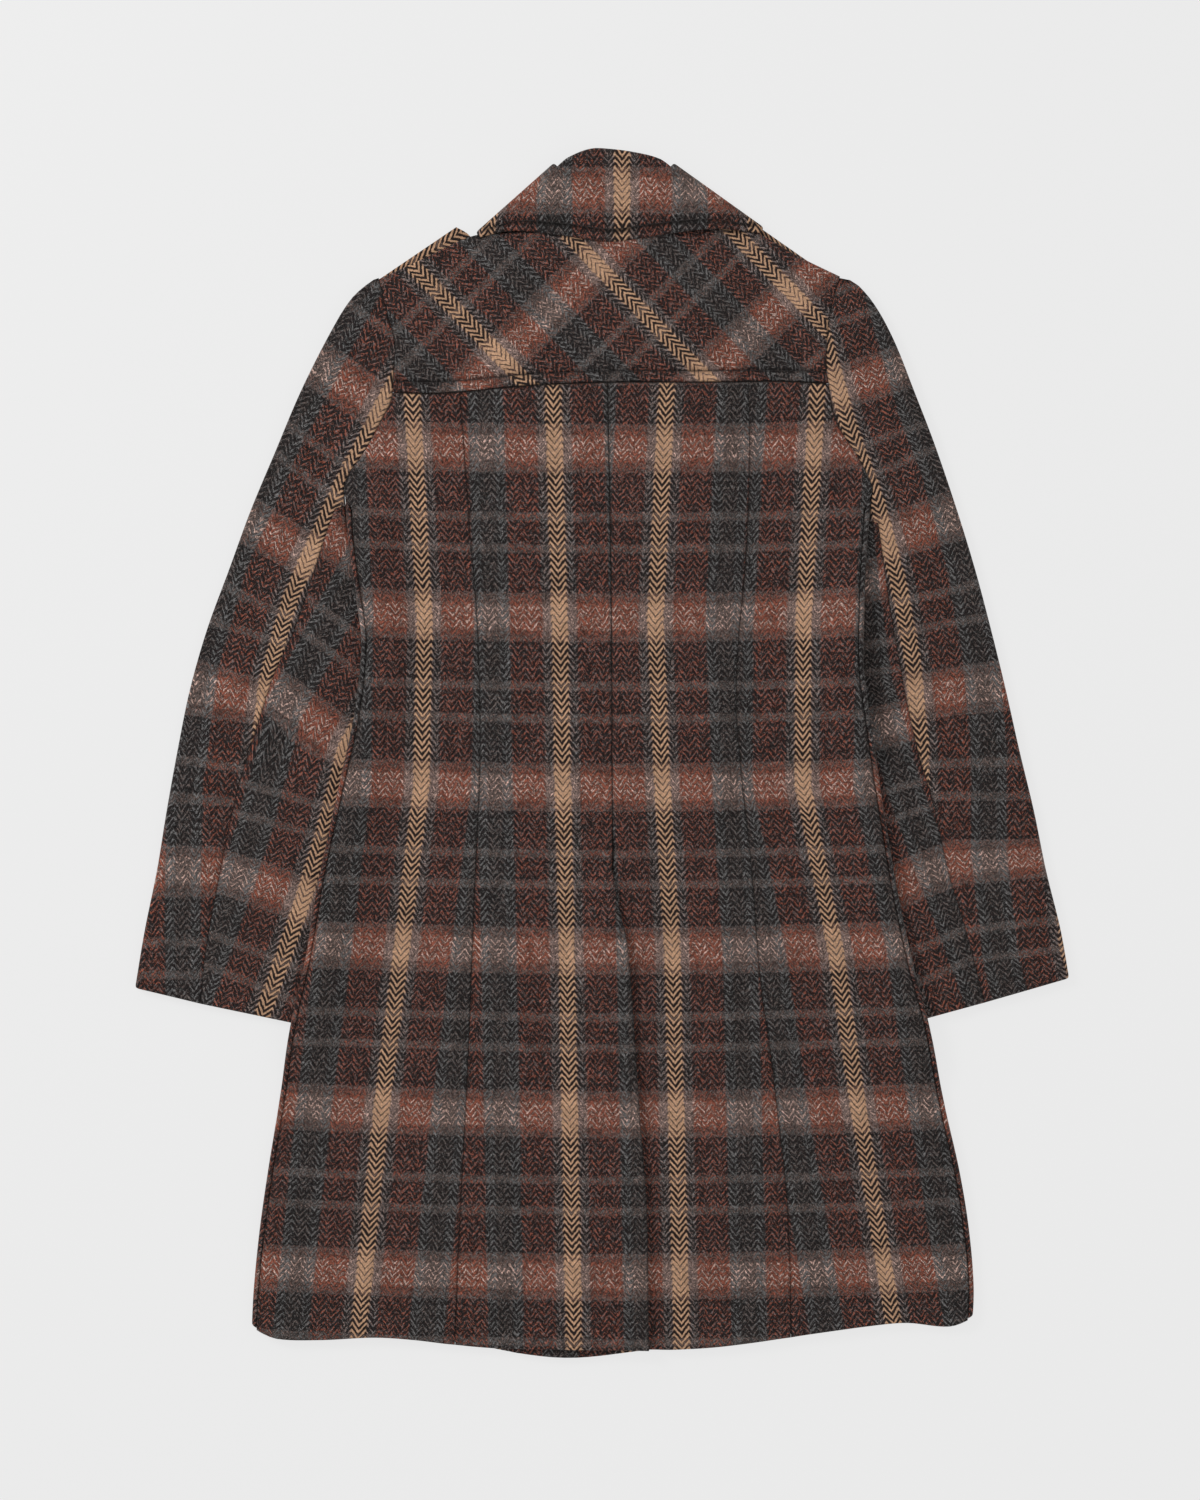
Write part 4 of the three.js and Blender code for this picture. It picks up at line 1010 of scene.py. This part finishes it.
def collar_row(v):
    """A row of the fall: v is 0 at the roll and 1 at the outer edge."""
    rise = FALL_ROLL - ROLL_ROUND * (1 - math.sin(min(1, v / ROUND_TO) * math.pi / 2))
    over = float(ease(*FALL_DOWN, v))

    def back(x, u):
        lying = float(back_level(x, FALL_EDGE)) + LAYER + FALL_CLEAR
        raised = float(ease(*CORNER_RISE, u) * (1 - ease(*CORNER_FALL, u)))
        lifted = CORNER_HEIGHT * raised * float(ease(*CORNER_DOWN, v))
        return mix(rise, lying, over) + lifted + groove((1 - v) * COLLAR_DEPTH - COLLAR_STITCH)

    high = mix(rise, BACK_LEVEL + LAYER + FALL_CLEAR, over)
    return wrapped_row(FALL, v, HALF, high, back, lambda u, x, y: mix(roll_bow(u), edge_bow(u), v))


def collar_fall():
    share, offset = places(COLLAR_DEPTH, COLLAR_CELL, ROLL_OFFSETS, STITCH_OFFSETS)
    grid = np.array([collar_row(float(v)) for v in np.clip(share + offset / COLLAR_DEPTH, 0, 1)], float)
    cloth("collar_fall", grid, collar_grain(grid), -1,
          stitched=COLLAR_STITCH)


def stand_row(v):
    """A row of the stand: v is 0 at the roll and 1 at the neck."""
    def height(x, u):
        return mix(STAND_ROLL, float(back_level(x, yoke_top(x))), float(ease(0, 1, v)))

    def bow(u, x, y):
        return mix(roll_bow(u), yoke_top(x) + GAP - y, v)
    return wrapped_row(STAND, v, HALF + LAYER, mix(STAND_ROLL, STAND_NECK, v), height, bow)


def collar_stand():
    grid = np.array([stand_row(v) for v in np.linspace(0, 1, STAND_ROWS)], float)
    cloth("collar_stand", grid, collar_grain(grid), -1)


def epaulette(side):
    form = EPAULETTES[side.name]
    blunt_x, blunt_y = (table(*[(row[0], row[k]) for row in form["point"]]) for k in (1, 2))
    share, offset = places(EPAULETTE_WIDTH, EPAULETTE_CELL)
    along, inset = places(EPAULETTE_LENGTH, EPAULETTE_CELL)
    across = share + offset / EPAULETTE_WIDTH
    rows = []
    for w in across:
        start, end = mix(*np.array(form["sewn"], float), w), np.array([blunt_x(w), blunt_y(w)])
        rows.append([[*mix(start, end, k), HALF] for k in along + inset / EPAULETTE_LENGTH])
    grid = np.array(rows)
    across = np.broadcast_to(across[:, None] * EPAULETTE_WIDTH, grid.shape[:2])
    grain = np.stack([across - EPAULETTE_STRIPE, lengths(grid, 1) + EPAULETTE_START], -1)
    cloth(f"epaulette_{side.name}", grid, grain, 1)


def tube_faces(rings, sides, base=0):
    """Faces round rings of points, and over both ends."""
    faces = []
    for ring in range(base, base + (rings - 1) * sides, sides):
        for k in range(sides):
            a, b = ring + k, ring + (k + 1) % sides
            faces.append((a, a + sides, b + sides, b))
    first = tuple(range(base, base + sides))
    return [*faces, first, tuple(k + (rings - 1) * sides for k in first[::-1])]


def button(side, number):
    """A round horn button, its rim and dished face turned to the surface below, sewn with crossed thread."""
    label = f"{side.name}_{number + 1}"
    x, y = CENTRE_X + side.hand * BUTTON_SPREAD, BUTTON_ROWS[number]
    angles = [2 * math.pi * k / BUTTON_SIDES for k in range(BUTTON_SIDES)]
    points = [(x + r * math.cos(a), y + r * math.sin(a), z) for r, z in BUTTON_PROFILE for a in angles]
    *walls, first, last = tube_faces(len(BUTTON_PROFILE), BUTTON_SIDES)
    faces = [*((a, d, c, b) for a, b, c, d in walls), first[::-1], last[::-1]]
    disc = make_mesh(f"horn_button_{label}", points, faces, HORN)
    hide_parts(f"button_{label}")
    middle = np.array([x, y, CROSS_LEVEL])
    for step, degrees in enumerate(CROSS):
        turn = math.radians(degrees)
        way = np.array([math.cos(turn), math.sin(turn), 0]) * CROSS_REACH
        stitch_mesh(f"button_thread_{label}_{step + 1}", [(middle - way, middle + way)])


def stitch_mesh(name, segments):
    """Short round-ended threads between pairs of points, joined in one mesh."""
    points, faces = [], []
    for start, end in segments:
        start, end = np.array(start, float), np.array(end, float)
        way = (end - start) / norm(end - start)
        side = np.cross(way, (0, 0, 1))
        side /= norm(side)
        up = np.cross(side, way)
        faces += tube_faces(len(THREAD_RINGS), THREAD_SIDES, len(points))
        for share, size in THREAD_RINGS:
            for k in range(THREAD_SIDES):
                angle = 2 * math.pi * k / THREAD_SIDES
                round_it = side * math.cos(angle) + up * math.sin(angle)
                points.append(mix(start, end, share) + THREAD_RADIUS * size * round_it)
    make_mesh(name, points, faces, THREAD)


def topstitch(name, line):
    """Stitches along a line of surface points close together."""
    line = np.array(line, float)
    steps = norm(np.diff(line, axis=0), axis=1)
    length = np.concatenate([[0], np.cumsum(steps)])

    def at(distance):
        return np.array([np.interp(distance, length, line[:, k]) for k in range(3)])
    starts = np.arange(1, length[-1] - STITCH, STITCH + STITCH_GAP)
    stitch_mesh(name, [(at(s), at(s + STITCH)) for s in starts])


def stitches():
    first, last = (side.outline(y) - side.hand * STITCH_INSET for side, y in zip((LEFT, RIGHT), STITCH_ENDS))
    xs = np.linspace(float(first), float(last), STITCH_POINTS)
    ys = yoke_seam(xs) + YOKE_STITCH
    topstitch("topstitch_yoke", np.stack([xs, ys, yoke_surface(xs, ys) + HALF + STITCH_UP], -1))
    row = np.array(collar_row(1 - COLLAR_STITCH / COLLAR_DEPTH), float)
    back = row[row[:, 2] > BACK_LEVEL]
    topstitch("topstitch_collar", back + (0, 0, HALF + STITCH_UP))


def stage():
    """A pale floor and soft light from the upper left."""
    mesh = bpy.data.meshes.new("floor")
    a, z = FLOOR_HALF, FLOOR_LEVEL
    mesh.from_pydata([(-a, -a, z), (a, -a, z), (a, a, z), (-a, a, z)], [], [(0, 1, 2, 3)])
    mesh.materials.append(Graph("pale_floor").look({
        "Base Color": linear(*FLOOR_SHADE), "Roughness": 1, "Specular IOR Level": 0,
        "Emission Color": linear(*FLOOR_GLOW), "Emission Strength": FLOOR_GLOW_STRENGTH}))
    linked("floor", mesh)

    world = bpy.data.worlds.new("studio")
    world.use_nodes = True
    sky = world.node_tree.nodes["Background"].inputs
    sky["Color"].default_value = (1, 1, 1, 1)
    sky["Strength"].default_value = WORLD_LIGHT
    bpy.context.scene.world = world
    for name, place, size, power in LIGHTS:
        lamp = bpy.data.lights.new(name, "AREA")
        lamp.size = size
        lamp.energy = power
        lit = linked(name, lamp)
        lit.location = place
        lit.rotation_euler = (-Vector(place)).to_track_quat("-Z", "Y").to_euler()


def camera():
    """Straight above, at the photograph's framing."""
    lens = bpy.data.cameras.new("camera")
    lens.sensor_width = SENSOR
    width, height = PHOTO_SIZE
    lens.lens = SENSOR / 2 / (height * PHOTO_SCALE * MM / 2 / CAMERA_HEIGHT)
    seen = linked("camera", lens)
    middle_x, middle_y = photo_x(width / 2) + PLACE[0], photo_y(height / 2) + PLACE[1]
    seen.location = (middle_x * MM, middle_y * MM, CAMERA_HEIGHT)
    bpy.context.scene.camera = seen
    bpy.context.scene.view_settings.view_transform = "Standard"


camera()
stage()
back_yoke()
centre_back(RIGHT, underlap, underlap_surface)
centre_back(LEFT, vent_fold, vent_surface)
for half in (LEFT, RIGHT):
    side_back(half)
    front(half)
    sleeve(half, "top")
    sleeve(half, "under")
    epaulette(half)
    for number in range(len(BUTTON_ROWS)):
        button(half, number)
collar_fall()
collar_stand()
stitches()
